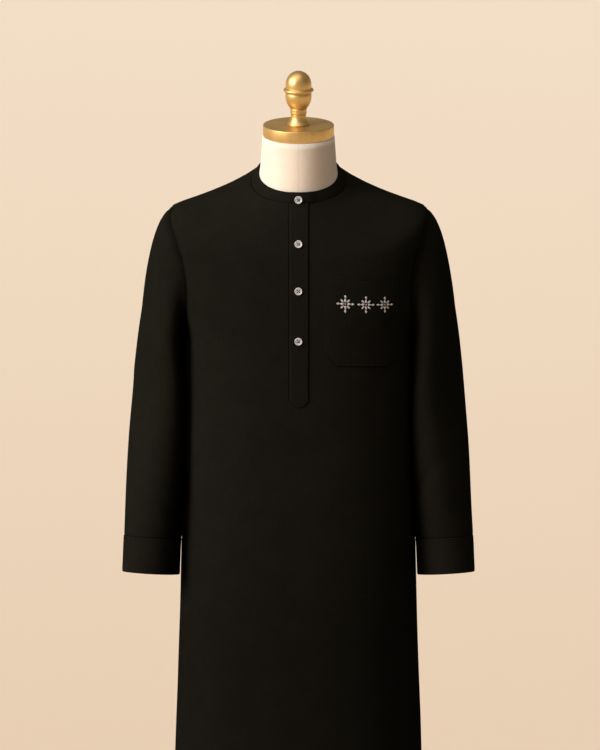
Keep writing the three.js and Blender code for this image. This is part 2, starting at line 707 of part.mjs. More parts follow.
function buttonGeometry() {
  const b = BUTTON;
  const side = [[b.foot, 0], [b.radius, b.edge], [b.radius, b.shoulder], [b.rim, b.top]];
  const blank = turnedSolid([[0, 0], ...side, [b.dish, b.floor], [0, b.floor]], TURNED_SIDES.button);
  let solid = toManifold(blank);
  for (let k = 0; k < BUTTON_HOLES.count; k += 1) {
    const turn = rad(45 + (360 * k) / BUTTON_HOLES.count);
    const centre = vector(Math.cos(turn), Math.sin(turn), 0).multiplyScalar(BUTTON_HOLES.ring);
    const hole = new THREE.CylinderGeometry(BUTTON_HOLES.radius, BUTTON_HOLES.radius, BUTTON_HOLES.tall, 6);
    hole.rotateX(Math.PI / 2).translate(...centre.toArray());
    solid = solid.subtract(toManifold(hole));
  }
  return fromManifold(solid);
}

const button = buttonGeometry();

// Each button lies square to the cloth under it; its own up is the garment's.
function sewOn(name, point, out) {
  const mesh = add(kaftan, name, button.clone(), pearl());
  const right = vector(1, 0, 0);
  mesh.position.copy(point);
  mesh.quaternion.setFromRotationMatrix(new THREE.Matrix4().makeBasis(right, out.clone().cross(right), out));
}

// The way out of the garment's front at its middle, between two points one above the other.
const frontOut = (lower, upper) => outOf(vector(1, 0, 0), upper.clone().sub(lower));

// Sews a button on at a place of a curve up the front, with the way out from two places either side of it.
function sewAlong(name, curve, place, step) {
  sewOn(name, curve(place), frontOut(curve(place - step), curve(place + step)));
}

const bandFace = BAND_LAP.lift + SEAM;
const placketFace = PLACKET.lift + PLACKET.cloth + SEAM;
sewAlong("button_1", (share) => bandPoint(0, share, bandFace), BAND_BUTTON, 0.2);
PLACKET_BUTTONS.forEach((height, k) => {
  sewAlong(`button_${k + 2}`, (z) => frontPoint(0, z, placketFace), height, 5);
});

// --- Dress form: torso and neck in one, kept clear of the cloth all round ---

const aroundForm = (at) => counted(FORM_SIDES, (j) => at((360 * j) / FORM_SIDES));

function torsoRing(row) {
  const section = { ...row, side: row.z, front: row.z, back: row.z, square: TORSO_SQUARE, roll: 1 };
  return aroundForm((angle) => ringPoint(section, angle));
}

// Rings just inside the garment's own sections; the arm openings are flat plates.
function fittedRing(height, clear) {
  return aroundForm((angle) => {
    const point = bodyPoint(height, angle, -CLOTH - clear);
    point.x = clamp(point.x, -ARM_PLATE, ARM_PLATE);
    return point;
  });
}

function neckRing(share) {
  return aroundForm((angle) => {
    const foot = bandPoint(angle, 1, -BAND_CLOTH - NECK_CLEAR);
    const turn = rad(angle);
    const top = vector(NECK.radius * Math.sin(turn), NECK.y - NECK.radius * Math.cos(turn), NECK.top);
    return foot.lerp(top, share);
  });
}

const fittedHeights = BODY.map((row) => row.side).filter((h) => h > TORSO_TOP);
const chestHeights = fittedHeights.filter((h) => h < SHOULDER_TIP);
const shoulderHeights = fittedHeights.filter((h) => h >= SHOULDER_TIP);
const formRings = [
  ...TORSO.map(torsoRing),
  ...chestHeights.map((h) => fittedRing(h, FORM_CLEAR)),
  ...shoulderHeights.map((h) => fittedRing(h, SHOULDER_CLEAR)),
  aroundForm((angle) => bandPoint(angle, 0.5, -BAND_CLOTH - NECK_CLEAR)),
  neckRing(0),
  neckRing(NECK.ease),
  neckRing(1),
];
add(dressForm, "form_body", loftedSolid(formRings), creamCanvas());

// --- Brass cap and knob on the neck ---

const raised = (outline, foot) => outline.map(([radius, height]) => [radius, foot + height]);

const capFoot = NECK.top + SEAM;
const capSide = [[CAP.radius - CAP.round, 0], [CAP.radius, CAP.round]];
const capEdge = [[CAP.radius, CAP.height - CAP.round], [CAP.radius - CAP.round, CAP.height]];
const capOutline = [[0, 0], ...capSide, ...capEdge, [0, CAP.height]];
const cap = turnedSolid(raised(capOutline, capFoot), TURNED_SIDES.cap);
add(dressForm, "neck_cap", cap, brass()).position.y = NECK.y;

const knobFoot = capFoot + CAP.height + SEAM;
const knob = turnedSolid(raised(Object.values(KNOB).flat(), knobFoot), TURNED_SIDES.knob);
add(dressForm, "finial", knob, brass()).position.y = NECK.y;

// --- Stand: a round weighted foot and a pole up into the torso ---

const foot = turnedSolid(Object.values(STAND_FOOT).flat(), TURNED_SIDES.foot);
add(dressForm, "stand_base", foot, brass());

const poleFoot = STAND_FOOT.socket.at(-1)[1] + SEAM;
const poleTop = TORSO[0].z - SEAM;
const pole = new THREE.CylinderGeometry(POLE_RADIUS, POLE_RADIUS, poleTop - poleFoot, TURNED_SIDES.pole);
pole.rotateX(Math.PI / 2).translate(0, 0, (poleTop + poleFoot) / 2);
add(dressForm, "stand_pole", pole, brass());

const object = new THREE.Group();
object.add(kaftan, dressForm);
export default object;
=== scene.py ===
# A long black kaftan with a stand collar, a buttoned placket and three embroidered stars on its breast
# pocket, worn on a tailor's dress form of cream canvas with a turned brass cap, knob and stand.
# Metres, +Z up; the front faces -Y and the wearer's left is +X.
import math
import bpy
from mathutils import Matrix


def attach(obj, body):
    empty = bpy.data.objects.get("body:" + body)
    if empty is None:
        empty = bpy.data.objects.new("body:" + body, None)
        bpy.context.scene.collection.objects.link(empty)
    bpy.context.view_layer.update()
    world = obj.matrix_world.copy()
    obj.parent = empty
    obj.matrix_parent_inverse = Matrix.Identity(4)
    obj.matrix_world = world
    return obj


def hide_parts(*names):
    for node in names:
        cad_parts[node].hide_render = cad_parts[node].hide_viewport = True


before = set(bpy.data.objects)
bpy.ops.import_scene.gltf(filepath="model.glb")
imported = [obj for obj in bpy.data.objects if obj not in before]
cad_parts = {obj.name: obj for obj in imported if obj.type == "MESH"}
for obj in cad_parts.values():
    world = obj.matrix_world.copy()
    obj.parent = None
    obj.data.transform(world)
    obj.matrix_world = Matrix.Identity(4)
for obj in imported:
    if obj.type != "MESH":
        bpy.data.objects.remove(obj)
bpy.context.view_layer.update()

from types import SimpleNamespace

import bmesh
import bpy
import numpy as np
from mathutils import Matrix, Vector


# ---- Studio ----
# A seamless cream floor under one broad soft lamp high on the left, with weaker ones overhead and behind
# and a warm room that is darker on the right. The camera stands far off and a little above, so that the
# whole garment down to the calves is seen with hardly any perspective.
VIEW_MIDDLE = Vector((0.0025, 0, 1.1365))
VIEW_HEIGHT = 1.2525
CAMERA_DISTANCE = 45.0
CAMERA_RISE = math.radians(13.5)
FILM_HEIGHT = 36.0
FLOOR_SIZE = 240.0
FLOOR_NEAR, FLOOR_FAR = (0.730, 0.597, 0.474, 1), (0.822, 0.717, 0.608, 1)
ROOM_LIGHT = (1.0, 0.86, 0.68, 1)
ROOM_LEFT, ROOM_RIGHT = 0.40, 0.20
LAMPS = (  # name, place, energy, softness in degrees, colour
    ("key_lamp", (-6.2, -3.0, 4.3), 3.6, 30, (1.0, 0.97, 0.925)),
    ("top_lamp", (-1.0, -1.5, 6.0), 0.9, 50, (1.0, 0.95, 0.88)),
    ("back_lamp", (-1.5, 7.0, 1.8), 1.0, 24, (1.0, 0.96, 0.91)),
)


class Socket:
    """What a shader node gives, so that sums on it are written in plain Python and add Math nodes."""

    def __init__(self, finish, source):
        self.finish = finish
        self.source = source

    def maths(self, operation, *values):
        return self.finish.node("Math", {"operation": operation}, dict(enumerate(values)))

    def __add__(self, other):
        return self.maths("ADD", self, other)

    def __sub__(self, other):
        return self.maths("SUBTRACT", self, other)

    def __rsub__(self, other):
        return self.maths("SUBTRACT", other, self)

    def __mul__(self, other):
        return self.maths("MULTIPLY", self, other)

    __radd__ = __add__
    __rmul__ = __mul__

    def sine(self):
        return self.maths("SINE", self)

    def size(self):
        return self.maths("ABSOLUTE", self)

    def between(self, low, high):
        """0 up to low, 1 from high on, and a soft step between them."""
        settings = {"interpolation_type": "SMOOTHSTEP"}
        return self.finish.node("MapRange", settings, {"Value": self, "From Min": low, "From Max": high})


class Finish:
    """A material whose nodes are added one at a time."""

    def __init__(self, name):
        self.material = bpy.data.materials.new(name)
        self.material.use_nodes = True
        self.tree = self.material.node_tree
        self.tree.nodes.clear()

    @staticmethod
    def socket(sockets, key):
        """A node's socket by its number or its name, among those that its settings leave in use."""
        used = [socket for socket in sockets if not socket.is_unavailable]
        return used[key] if isinstance(key, int) else next(s for s in used if s.name == key)

    def node(self, kind, settings=None, inputs=None, output=0):
        node = self.tree.nodes.new("ShaderNode" + kind)
        for name, value in (settings or {}).items():
            setattr(node, name, value)
        for key, value in (inputs or {}).items():
            socket = self.socket(node.inputs, key)
            if isinstance(value, Socket):
                self.tree.links.new(value.source, socket)
            else:
                socket.default_value = value
        return Socket(self, self.socket(node.outputs, output))

    def place(self, uv_map=None):
        """Where a point lies: in the object, or on the cloth as it was cut."""
        if uv_map:
            return self.node("UVMap", {"uv_map": uv_map})
        return self.node("TexCoord", output="Object")

    def part(self, vector, axis):
        return self.node("SeparateXYZ", None, {0: vector}, axis)

    def stretched(self, vector, scale):
        return self.node("VectorMath", {"operation": "MULTIPLY"}, {0: vector, 1: scale})

    def noise(self, vector, scale, detail=3.0, roughness=0.5):
        inputs = {"Vector": vector, "Scale": scale, "Detail": detail, "Roughness": roughness}
        return self.node("TexNoise", None, inputs)

    def mixed(self, share, first, second):
        return self.node("Mix", {"data_type": "RGBA"}, {0: share, 1: first, 2: second})

    def bump(self, height, distance, strength=1.0):
        return self.node("Bump", None, {"Height": height, "Distance": distance, "Strength": strength})

    def surface(self, inputs):
        shader = self.node("BsdfPrincipled", None, inputs)
        shown = self.tree.nodes.new("ShaderNodeOutputMaterial")
        self.tree.links.new(shader.source, shown.inputs["Surface"])
        return self.material


def placed(name, mesh, *finishes):
    """An object for a mesh, at the origin, with its finishes."""
    piece = bpy.data.objects.new(name, mesh)
    bpy.context.scene.collection.objects.link(piece)
    for finish in finishes:
        mesh.materials.append(finish)
    return piece


def floor_finish():
    floor = Finish("studio_floor_cream")
    place = floor.place()
    # A painted fall of light: the cream is darker near the form and lighter far off, with faint random
    # mottling.
    far = floor.part(place, "Y").between(0.5, 9.0) + floor.noise(place, 0.4, 2.0) * 0.1
    cream = floor.mixed(far, FLOOR_NEAR, FLOOR_FAR)
    return floor.surface({"Base Color": cream, "Roughness": 0.9, "Specular IOR Level": 0.1})


floor_shape = bmesh.new()
bmesh.ops.create_grid(floor_shape, x_segments=1, y_segments=1, size=FLOOR_SIZE / 2)
floor_mesh = bpy.data.meshes.new("studio_floor")
floor_shape.to_mesh(floor_mesh)
floor_shape.free()
studio_floor = placed("studio_floor", floor_mesh, floor_finish())
studio_floor.visible_diffuse = False

room = bpy.data.worlds.new("warm_room")
room.use_nodes = True
glow = room.node_tree.nodes["Background"]
glow.inputs["Color"].default_value = ROOM_LIGHT
way = room.node_tree.nodes.new("ShaderNodeTexCoord")
across = room.node_tree.nodes.new("ShaderNodeSeparateXYZ")
fade = room.node_tree.nodes.new("ShaderNodeMapRange")
fade.inputs["From Min"].default_value = -1.0
fade.inputs["To Min"].default_value = ROOM_LEFT
fade.inputs["To Max"].default_value = ROOM_RIGHT
room.node_tree.links.new(way.outputs["Generated"], across.inputs[0])
room.node_tree.links.new(across.outputs["X"], fade.inputs["Value"])
room.node_tree.links.new(fade.outputs["Result"], glow.inputs["Strength"])
bpy.context.scene.world = room


def aimed(item, place, target):
    item.location = place
    item.rotation_euler = (Vector(target) - Vector(place)).to_track_quat("-Z", "Y").to_euler()
    bpy.context.scene.collection.objects.link(item)


for name, place, energy, softness, colour in LAMPS:
    lamp = bpy.data.lights.new(name, "SUN")
    lamp.energy = energy
    lamp.angle = math.radians(softness)
    lamp.color = colour
    lamp_object = bpy.data.objects.new(name, lamp)
    lamp_object.visible_glossy = name != "back_lamp"
    aimed(lamp_object, place, (0, 0, 1))

camera = bpy.data.objects.new("camera", bpy.data.cameras.new("camera"))
camera.data.sensor_fit = "VERTICAL"
camera.data.sensor_height = FILM_HEIGHT
camera.data.lens = FILM_HEIGHT * CAMERA_DISTANCE / VIEW_HEIGHT
camera.data.clip_end = 400.0
camera_side = Vector((0, -math.cos(CAMERA_RISE), math.sin(CAMERA_RISE)))
aimed(camera, VIEW_MIDDLE + CAMERA_DISTANCE * camera_side, VIEW_MIDDLE)
bpy.context.scene.camera = camera
bpy.context.scene.view_settings.view_transform = "Standard"


# ---- Front and back panels ----
# One long panel of fine black suiting in front and one behind, joined at the shoulders and the sides.
# They hang straight from the shoulders in soft folds to a turned-up hem, with the neckline cut round.
#
# A section of the body is named by its height at the side; front and back are its heights there. half,
# ahead and behind are its half-width and depths, square is 2 for an ellipse, roll rounds the shoulder,
# and arm_front and arm_back are how far from the middle each panel ends: side, armhole or shoulder seam.
BODY_COLUMNS = "side front back half ahead behind square roll arm_front arm_back".split()
BODY = (
    (0.1200, 0.1200, 0.1200, 0.2255, 0.1390, 0.1260, 2.30, 1.00, 0.0000, 0.0000),
    (0.5000, 0.5000, 0.5000, 0.2066, 0.1320, 0.1210, 2.35, 1.00, 0.0000, 0.0000),
    (0.8500, 0.8500, 0.8500, 0.1955, 0.1270, 0.1180, 2.40, 1.00, 0.0000, 0.0000),
    (1.1200, 1.1200, 1.1200, 0.1909, 0.1235, 0.1165, 2.40, 1.00, 0.0000, 0.0000),
    (1.2000, 1.2000, 1.2000, 0.1904, 0.1225, 0.1160, 2.40, 1.00, 0.0000, 0.0000),
    (1.2060, 1.2050, 1.2060, 0.1895, 0.1224, 0.1160, 2.40, 1.05, -0.0200, 0.0220),
    (1.2240, 1.2190, 1.2230, 0.1913, 0.1221, 0.1155, 2.40, 1.10, -0.0360, 0.0400),
    (1.2580, 1.2450, 1.2540, 0.1975, 0.1214, 0.1145, 2.40, 1.20, -0.0500, 0.0540),
    (1.2960, 1.2730, 1.2880, 0.2037, 0.1200, 0.1125, 2.40, 1.30, -0.0580, 0.0610),
    (1.3340, 1.3000, 1.3200, 0.2074, 0.1180, 0.1100, 2.40, 1.40, -0.0600, 0.0620),
    (1.3680, 1.3240, 1.3480, 0.2127, 0.1154, 0.1070, 2.40, 1.50, -0.0580, 0.0580),
    (1.3980, 1.3450, 1.3720, 0.2182, 0.1120, 0.1040, 2.40, 1.60, -0.0500, 0.0470),
    (1.4140, 1.3560, 1.3860, 0.2182, 0.1104, 0.1015, 2.40, 1.65, -0.0380, 0.0300),
    (1.4270, 1.3660, 1.4000, 0.2090, 0.1086, 0.0990, 2.40, 1.70, -0.0100, -0.0100),
    (1.4380, 1.3850, 1.4230, 0.1800, 0.1038, 0.0920, 2.35, 1.60, -0.0095, -0.0095),
    (1.4473, 1.4030, 1.4430, 0.1520, 0.0980, 0.0850, 2.28, 1.45, -0.0090, -0.0090),
    (1.4560, 1.4210, 1.4620, 0.1250, 0.0916, 0.0770, 2.20, 1.30, -0.0080, -0.0080),
    (1.4632, 1.4360, 1.4800, 0.1000, 0.0860, 0.0695, 2.10, 1.10, -0.0070, -0.0070),
    (1.4692, 1.4500, 1.4970, 0.0790, 0.0800, 0.0620, 2.05, 1.00, -0.0060, -0.0060),
)
DIP = 1.3
HEM, SLEEVE_FOOT, SHOULDER_TIP, NECKLINE = 0.120, 1.200, 1.427, 1.4692
HEM_TURN = 0.028
CLOTH = 0.0014
SEAM = 0.0003
SEAM_ROLL = SimpleNamespace(depth=0.0007, width=0.0017)
NECK_ROLL = SimpleNamespace(depth=0.0003, width=0.0014)
UNDERLAP = 0.0022

HANG_FOLDS = (  # angle round the body, half-width in degrees, depth, height where it starts
    (21, 9, 0.0026, 0.900), (52, 11, 0.0042, 1.050), (104, 12, 0.0036, 0.980), (139, 10, 0.0044, 1.080),
    (171, 11, 0.0032, 0.900), (212, 12, 0.0046, 1.080), (251, 10, 0.0034, 0.960), (303, 12, 0.0044, 1.060),
    (338, 9, 0.0024, 0.860),
)
BODY_CREASES = (  # from angle and height, to angle and height, half-width, depth
    (66, 1.335, 44, 1.235, 0.016, 0.0016),
    (71, 1.225, 38, 1.130, 0.018, 0.0015),
    (-66, 1.330, -47, 1.215, 0.017, 0.0018),
    (-73, 1.215, -36, 1.090, 0.020, 0.0014),
    (30, 1.060, -14, 1.000, 0.022, 0.0009),
    (-22, 0.930, 16, 0.880, 0.024, 0.0009),
    (118, 1.300, 142, 1.180, 0.018, 0.0018),
    (240, 1.320, 214, 1.190, 0.018, 0.0020),
    (150, 1.150, 205, 1.090, 0.022, 0.0012),
)
MIDDLE_RADIUS = 0.155


def steady_curve(places, values):
    """A smooth curve through a table's rows that stays between neighbouring rows."""
    places = np.asarray(places, float)
    values = np.asarray(values, float)
    gaps = np.diff(places)
    rises = np.diff(values) / gaps
    before = 2 * gaps[1:] + gaps[:-1]
    after = gaps[1:] + 2 * gaps[:-1]
    turns = rises[:-1] * rises[1:] <= 0
    first = np.where(turns, 1, rises[:-1])
    second = np.where(turns, 1, rises[1:])
    inner = np.where(turns, 0, (before + after) / (before / first + after / second))
    slopes = np.concatenate((rises[:1], inner, rises[-1:]))

    def curve(place):
        place = np.clip(place, places[0], places[-1])
        row = np.clip(np.searchsorted(places, place, side="right") - 1, 0, len(gaps) - 1)
        t = (place - places[row]) / gaps[row]
        bend = gaps[row] * t * (1 - t) * (slopes[row] * (1 - t) - slopes[row + 1] * t)
        return values[row] + (values[row + 1] - values[row]) * t * t * (3 - 2 * t) + bend

    return curve


def curves_over(columns, rows):
    """Every column of a table as a curve over its first one."""
    table = np.array(rows)
    curves = {name: steady_curve(table[:, 0], table[:, k]) for k, name in enumerate(columns)}
    return lambda place: SimpleNamespace(**{name: curve(place) for name, curve in curves.items()})


body_section = curves_over(BODY_COLUMNS, BODY)


def depth_at(section, across):
    """A section's share of its depth, 0 at the side and 1 in the middle, at a share of its half-width."""
    return (1 - np.minimum(1, np.abs(across)) ** section.square) ** (1 / section.square)


def dip_at(section, depth):
    return 1 - (1 - np.minimum(1, depth) ** section.roll) ** DIP


def ring_point(section, angle):
    """A point of a section: angle 0 is the middle of the front, 90 the wearer's left, 180 the back."""
    sine, cosine = np.sin(np.radians(angle)), np.cos(np.radians(angle))
    reach = (np.abs(sine) ** section.square + np.abs(cosine) ** section.square) ** (-1 / section.square)
    depth = reach * cosine
    ahead = depth >= 0
    far = np.where(ahead, section.front, section.back)
    height = section.side + (far - section.side) * dip_at(section, np.abs(depth))
    return np.stack((
        section.half * reach * sine,
        -depth * np.where(ahead, section.ahead, section.behind),
        height,
    ), axis=-1)


def bell(distance, width):
    """1 on a line, and fading softly to nothing about two widths away from it."""
    return np.exp(-((distance / width) ** 2))


def eased(share):
    """A share from 0 to 1 that starts and ends slowly."""
    return share * share * (3 - 2 * share)


def turned_by(angle, start):
    """The angle from a start, between -180 and 180 degrees."""
    return (angle - start + 540) % 360 - 180


def trough(across, up, crease, width):
    """How far in a crease goes: a soft trough that fades at both ends of the line that it follows."""
    from_angle, from_height, to_angle, to_height, spread, depth = crease
    run = np.array(((to_angle - from_angle) * width, to_height - from_height))
    across, up = np.broadcast_arrays(across, up)
    place = np.stack((turned_by(across, from_angle) * width, up - from_height), axis=-1)
    t = np.clip(place @ run / (run @ run), 0, 1)
    off = np.linalg.norm(place - t[..., None] * run, axis=-1)
    return depth * bell(off, spread) * np.sin(np.pi * (0.1 + 0.8 * t))


rumple_waves = np.random.default_rng(11)
RUMPLE = [
    (
        rumple_waves.uniform(20, 75) * math.cos(lean),
        rumple_waves.uniform(20, 75) * math.sin(lean),
        rumple_waves.uniform(0, 2 * math.pi),
    )
    for lean in rumple_waves.uniform(-0.9, 0.9, 14)
]


def rumple(across, up, depth):
    """The slight unevenness of cloth that has been worn and pressed, from waves of many lengths."""
    waves = [np.sin(wide * across + tall * up + start) for wide, tall, start in RUMPLE]
    return depth * sum(waves) / math.sqrt(len(RUMPLE))


def body_surface(height, angle):
    height, angle = np.broadcast_arrays(np.asarray(height, float), np.asarray(angle, float))
    point = ring_point(body_section(height), angle)
    inward = 0.0
    for at, spread, depth, top in HANG_FOLDS:
        drop = np.clip((top - height) / (top - HEM), 0, 1)
        inward = inward + depth * bell(turned_by(angle, at), spread) * eased(drop)
    degree = math.radians(1) * MIDDLE_RADIUS
    for crease in BODY_CREASES:
        inward = inward + trough(angle, height, crease, degree)
    turn = np.radians(angle)
    inward = inward + rumple(np.sin(turn) * 0.19, height + 0.05 * np.cos(turn), 0.00022)
    away = point * (1, 1, 0)
    return point - away / np.linalg.norm(away, axis=-1, keepdims=True) * np.asarray(inward)[..., None]


def unit(vectors):
    return vectors / np.linalg.norm(vectors, axis=-1, keepdims=True)


def way_out(surface, first, second, steps):
    """The way out of a surface of (up, across) at some of its points."""
    rise, turn = steps
    right = surface(first, second + turn) - surface(first, second - turn)
    up = surface(first + rise, second) - surface(first - rise, second)
    return unit(np.cross(right, up))


BODY_STEPS = (0.0005, 0.5)


def body_point(height, angle, out=0.0):
    outward = way_out(body_surface, height, angle, BODY_STEPS)
    return body_surface(height, angle) + outward * np.asarray(out)[..., None]


def angle_at(height, y):
    """The angle at which a section is y ahead of (negative) or behind the middle, on the wearer's left."""
    section = body_section(height)
    depth = np.abs(y) / np.where(y <= 0, section.ahead, section.behind)
    angle = np.degrees(np.arctan2(depth_at(section, depth), depth))
    return np.where(y <= 0, angle, 180 - angle)


def front_place(x, z):
    """The section's height and the angle at which the body's front passes x and z, found by halving."""
    x, z = np.broadcast_arrays(np.asarray(x, float), np.asarray(z, float))
    low, high = np.full(x.shape, HEM), np.full(x.shape, NECKLINE)
    for _ in range(36):
        middle = (low + high) / 2
        section = body_section(middle)
        depth = depth_at(section, x / section.half)
        under = middle + (section.front - middle) * dip_at(section, depth) < z
        low, high = np.where(under, middle, low), np.where(under, high, middle)
    section = body_section(low)
    across = x / section.half
    return low, np.degrees(np.arctan2(across, depth_at(section, across)))


def front_point(x, z, out=0.0):
    return body_point(*front_place(x, z), out)


def finer_at(places, spots, reach):
    """A row of places with more of them close to some spots, for seams and lines of sewing."""
    steps = np.array((-1, -0.6, -0.3, 0, 0.3, 0.6, 1)) * reach
    extra = np.concatenate([spot + steps for spot in spots])
    low, high = min(places[0], places[-1]), max(places[0], places[-1])
    merged = np.unique(np.round(np.concatenate((places, extra[(extra > low) & (extra < high)])), 7))
    return merged if places[0] < places[-1] else merged[::-1]


def grid_normals(points, around):
    """The way out at each point of a grid whose rows go up and whose columns go to the right."""
    right, up = np.gradient(points, axis=1), np.gradient(points, axis=0)
    if around:
        ends = (points[:, 1] - points[:, -2]) / 2
        right[:, 0], right[:, -1] = ends, ends
    return unit(np.cross(right, up))


def cut_lengths(points):
    """How far along and up the cloth, as it was cut, each point of a grid lies."""
    along = np.linalg.norm(np.diff(points, axis=1), axis=2).cumsum(axis=1)
    up = np.linalg.norm(np.diff(points, axis=0), axis=2).cumsum(axis=0)
    along = np.concatenate((np.zeros((len(points), 1)), along), axis=1)
    up = np.concatenate((np.zeros((1, points.shape[1])), up), axis=0)
    return along, up


def sewn_edge(distance, roll=SEAM_ROLL):
    """How far the cloth rolls in at a seam."""
    return roll.depth * bell(distance, roll.width)


def finished(name, shape, finish, node=None):
    """A smooth piece from a worked shape, with its finish and the node that it stands for."""
    for face in shape.faces:
        face.smooth = True
    mesh = bpy.data.meshes.new(name)
    shape.to_mesh(mesh)
    shape.free()
    piece = placed(name, mesh, finish)
    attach(piece, "root")
    if node:
        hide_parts(node)
    return piece


def grid_place(vert, rows, columns):
    """The row and column of a point of a new grid."""
    return round((vert.co.y + 1) / 2 * rows), round((vert.co.x + 1) / 2 * columns)


def cloth_shell(name, points, wall, around=False, mirrored=False, wear_and_painted_light=None, threads=None):
    """A shell of cloth through a grid of points, with how its threads run, how worn it is, and where light
    and shade are painted on it.
    """
    rows, columns = points.shape[0] - 1, points.shape[1] - 1
    along, up = threads or cut_lengths(points)
    shell = bmesh.new()
    bmesh.ops.create_grid(shell, x_segments=columns, y_segments=rows, size=1)
    # Each point's mark: rubbed wear and painted highlights above nothing, painted shade below it.
    wear_and_light_mark = shell.verts.layers.float.new("wear_and_painted_light")
    weave = shell.loops.layers.uv.new("weave")
    side = -1 if mirrored else 1
    flat = {}
    for vert in shell.verts:
        place = grid_place(vert, rows, columns)
        flat[vert] = (along[place], up[place])
        x, y, z = points[place]
        vert.co = (side * x, y, z)
        vert[wear_and_light_mark] = 0.0 if wear_and_painted_light is None else wear_and_painted_light[place]
    for face in shell.faces:
        for loop in face.loops:
            loop[weave].uv = flat[loop.vert]
    if around:
        bmesh.ops.remove_doubles(shell, verts=shell.verts, dist=1e-5)
    if mirrored:
        bmesh.ops.reverse_faces(shell, faces=shell.faces)
    piece = finished(name, shell, suiting)
    thickness = piece.modifiers.new("thickness", "SOLIDIFY")
    thickness.thickness = wall
    thickness.offset = -1
    return piece


def suiting_finish():
    """Fine matte black suiting: plain weave, uneven threads both ways, edges rubbed a little grey and
    painted highlights where the mark is above nothing, and painted shade in near black where it is below."""
    thread_pitch = 0.00055
    cloth = Finish("black_suiting")
    place = cloth.place("weave")
    turn = math.pi / thread_pitch
    weft = (cloth.part(place, "Y") * turn).sine()
    warp = (cloth.part(place, "X") * turn).sine()
    crossing = warp * weft * 0.5 + 0.5
    down = cloth.noise(cloth.stretched(place, (900, 45, 1)), 1.0, 2.0)
    over = cloth.noise(cloth.stretched(place, (40, 800, 1)), 1.0, 2.0)
    slub = down * 0.6 + over * 0.4
    cloudy = cloth.noise(place, 24.0, 3.0)
    wear_and_light_mark = cloth.node("Attribute", {"attribute_name": "wear_and_painted_light"}, output="Fac")
    tone = slub.between(0.3, 0.7) * 0.7 + cloudy.between(0.25, 0.75) * 0.3
    black = cloth.mixed(tone, (0.0084, 0.0074, 0.0054, 1), (0.0121, 0.0109, 0.0084, 1))
    # Above nothing the mark turns the black grey, for rubbed edges and painted highlights; below nothing it
    # paints shade in near black.
    rubbed_and_highlit = cloth.mixed(wear_and_light_mark.between(0.0, 1.0), black, (0.020, 0.0185, 0.0150, 1))
    deep = cloth.mixed((0 - wear_and_light_mark).between(0.0, 1.0), rubbed_and_highlit, (0.0012, 0.0010, 0.0007, 1))
    relief = crossing * 0.3 + slub * 0.7
    return cloth.surface({
        "Base Color": deep,
        "Roughness": 0.98 - tone * 0.1,
        "Specular IOR Level": 0.0,
        "Normal": cloth.bump(relief, 0.00014, 0.5),
    })


suiting = suiting_finish()


def body_panel(name, start, end, under):
    """A panel between two angles, rolled in at its seams and turned up at its hem. A share of its width
    goes on at each side as a seam allowance that lies under the other panel and the sleeves."""
    heights = finer_at(np.linspace(HEM, NECKLINE, 226), (HEM + HEM_TURN, NECKLINE), 0.0016)[:, None]
    shares = finer_at(np.linspace(-under, 1 + under, 121), (0, 1), 0.006)[None, :]
    angles = start(heights) + (end(heights) - start(heights)) * shares
    points = body_surface(heights, angles)
    outward = grid_normals(points, around=False)
    along, up = cut_lengths(points)
    width = (along[:, -1:] - along[:, :1]) / (1 + 2 * under)
    to_side = np.minimum(shares, 1 - shares) * width
    inward = sewn_edge(to_side) + UNDERLAP * np.clip(-to_side / 0.001, 0, 1)
    inward = inward + sewn_edge(up[-1:] - up, NECK_ROLL)
    inward += 0.0006 * bell(up - HEM_TURN, 0.0011)
    inward -= 0.0004 * np.clip((HEM_TURN - up) / 0.004, 0, 1)
    below_tip = np.clip((SHOULDER_TIP - heights) / 0.01, 0, 1)
    painted_armhole_shade = below_tip * np.clip((heights - SLEEVE_FOOT) / 0.01, 0, 1)
    # A rubbed hem, then painted shade: thin lines at the side and shoulder seams, a broad band beside the
    # armhole, and more painted shade lower down the body, below 1.15 m.
    wear_and_painted_light = 0.5 * np.exp(-up / 0.003) - (0.1 + 0.3 * below_tip) * bell(to_side, 0.0016)
    wear_and_painted_light = wear_and_painted_light - 0.4 * painted_armhole_shade * bell(to_side, 0.008)
    wear_and_painted_light = wear_and_painted_light - 0.34 * np.clip((1.15 - heights) / 0.45, 0, 1)
    steps = np.linalg.norm(np.diff(points[..., :2], axis=1), axis=2)
    level = np.concatenate((0 * steps[:, :1], steps.cumsum(axis=1)), axis=1)
    level = level - level[:, [level.shape[1] // 2]]
    hang = points[..., 2] - 0.6 * np.abs(points[..., 1])
    return cloth_shell(name, points - outward * inward[..., None], CLOTH, wear_and_painted_light=wear_and_painted_light, threads=(level, hang))


def front_end(height):
    return angle_at(height, body_section(height).arm_front - SEAM / 2)


def back_end(height):
    return angle_at(height, body_section(height).arm_back + SEAM / 2)


front = body_panel("front_cloth", lambda h: -front_end(h), front_end, 0)
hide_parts("front_panel")

back = body_panel("back_cloth", back_end, lambda h: 360 - back_end(h), 0.006)
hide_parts("back_panel")


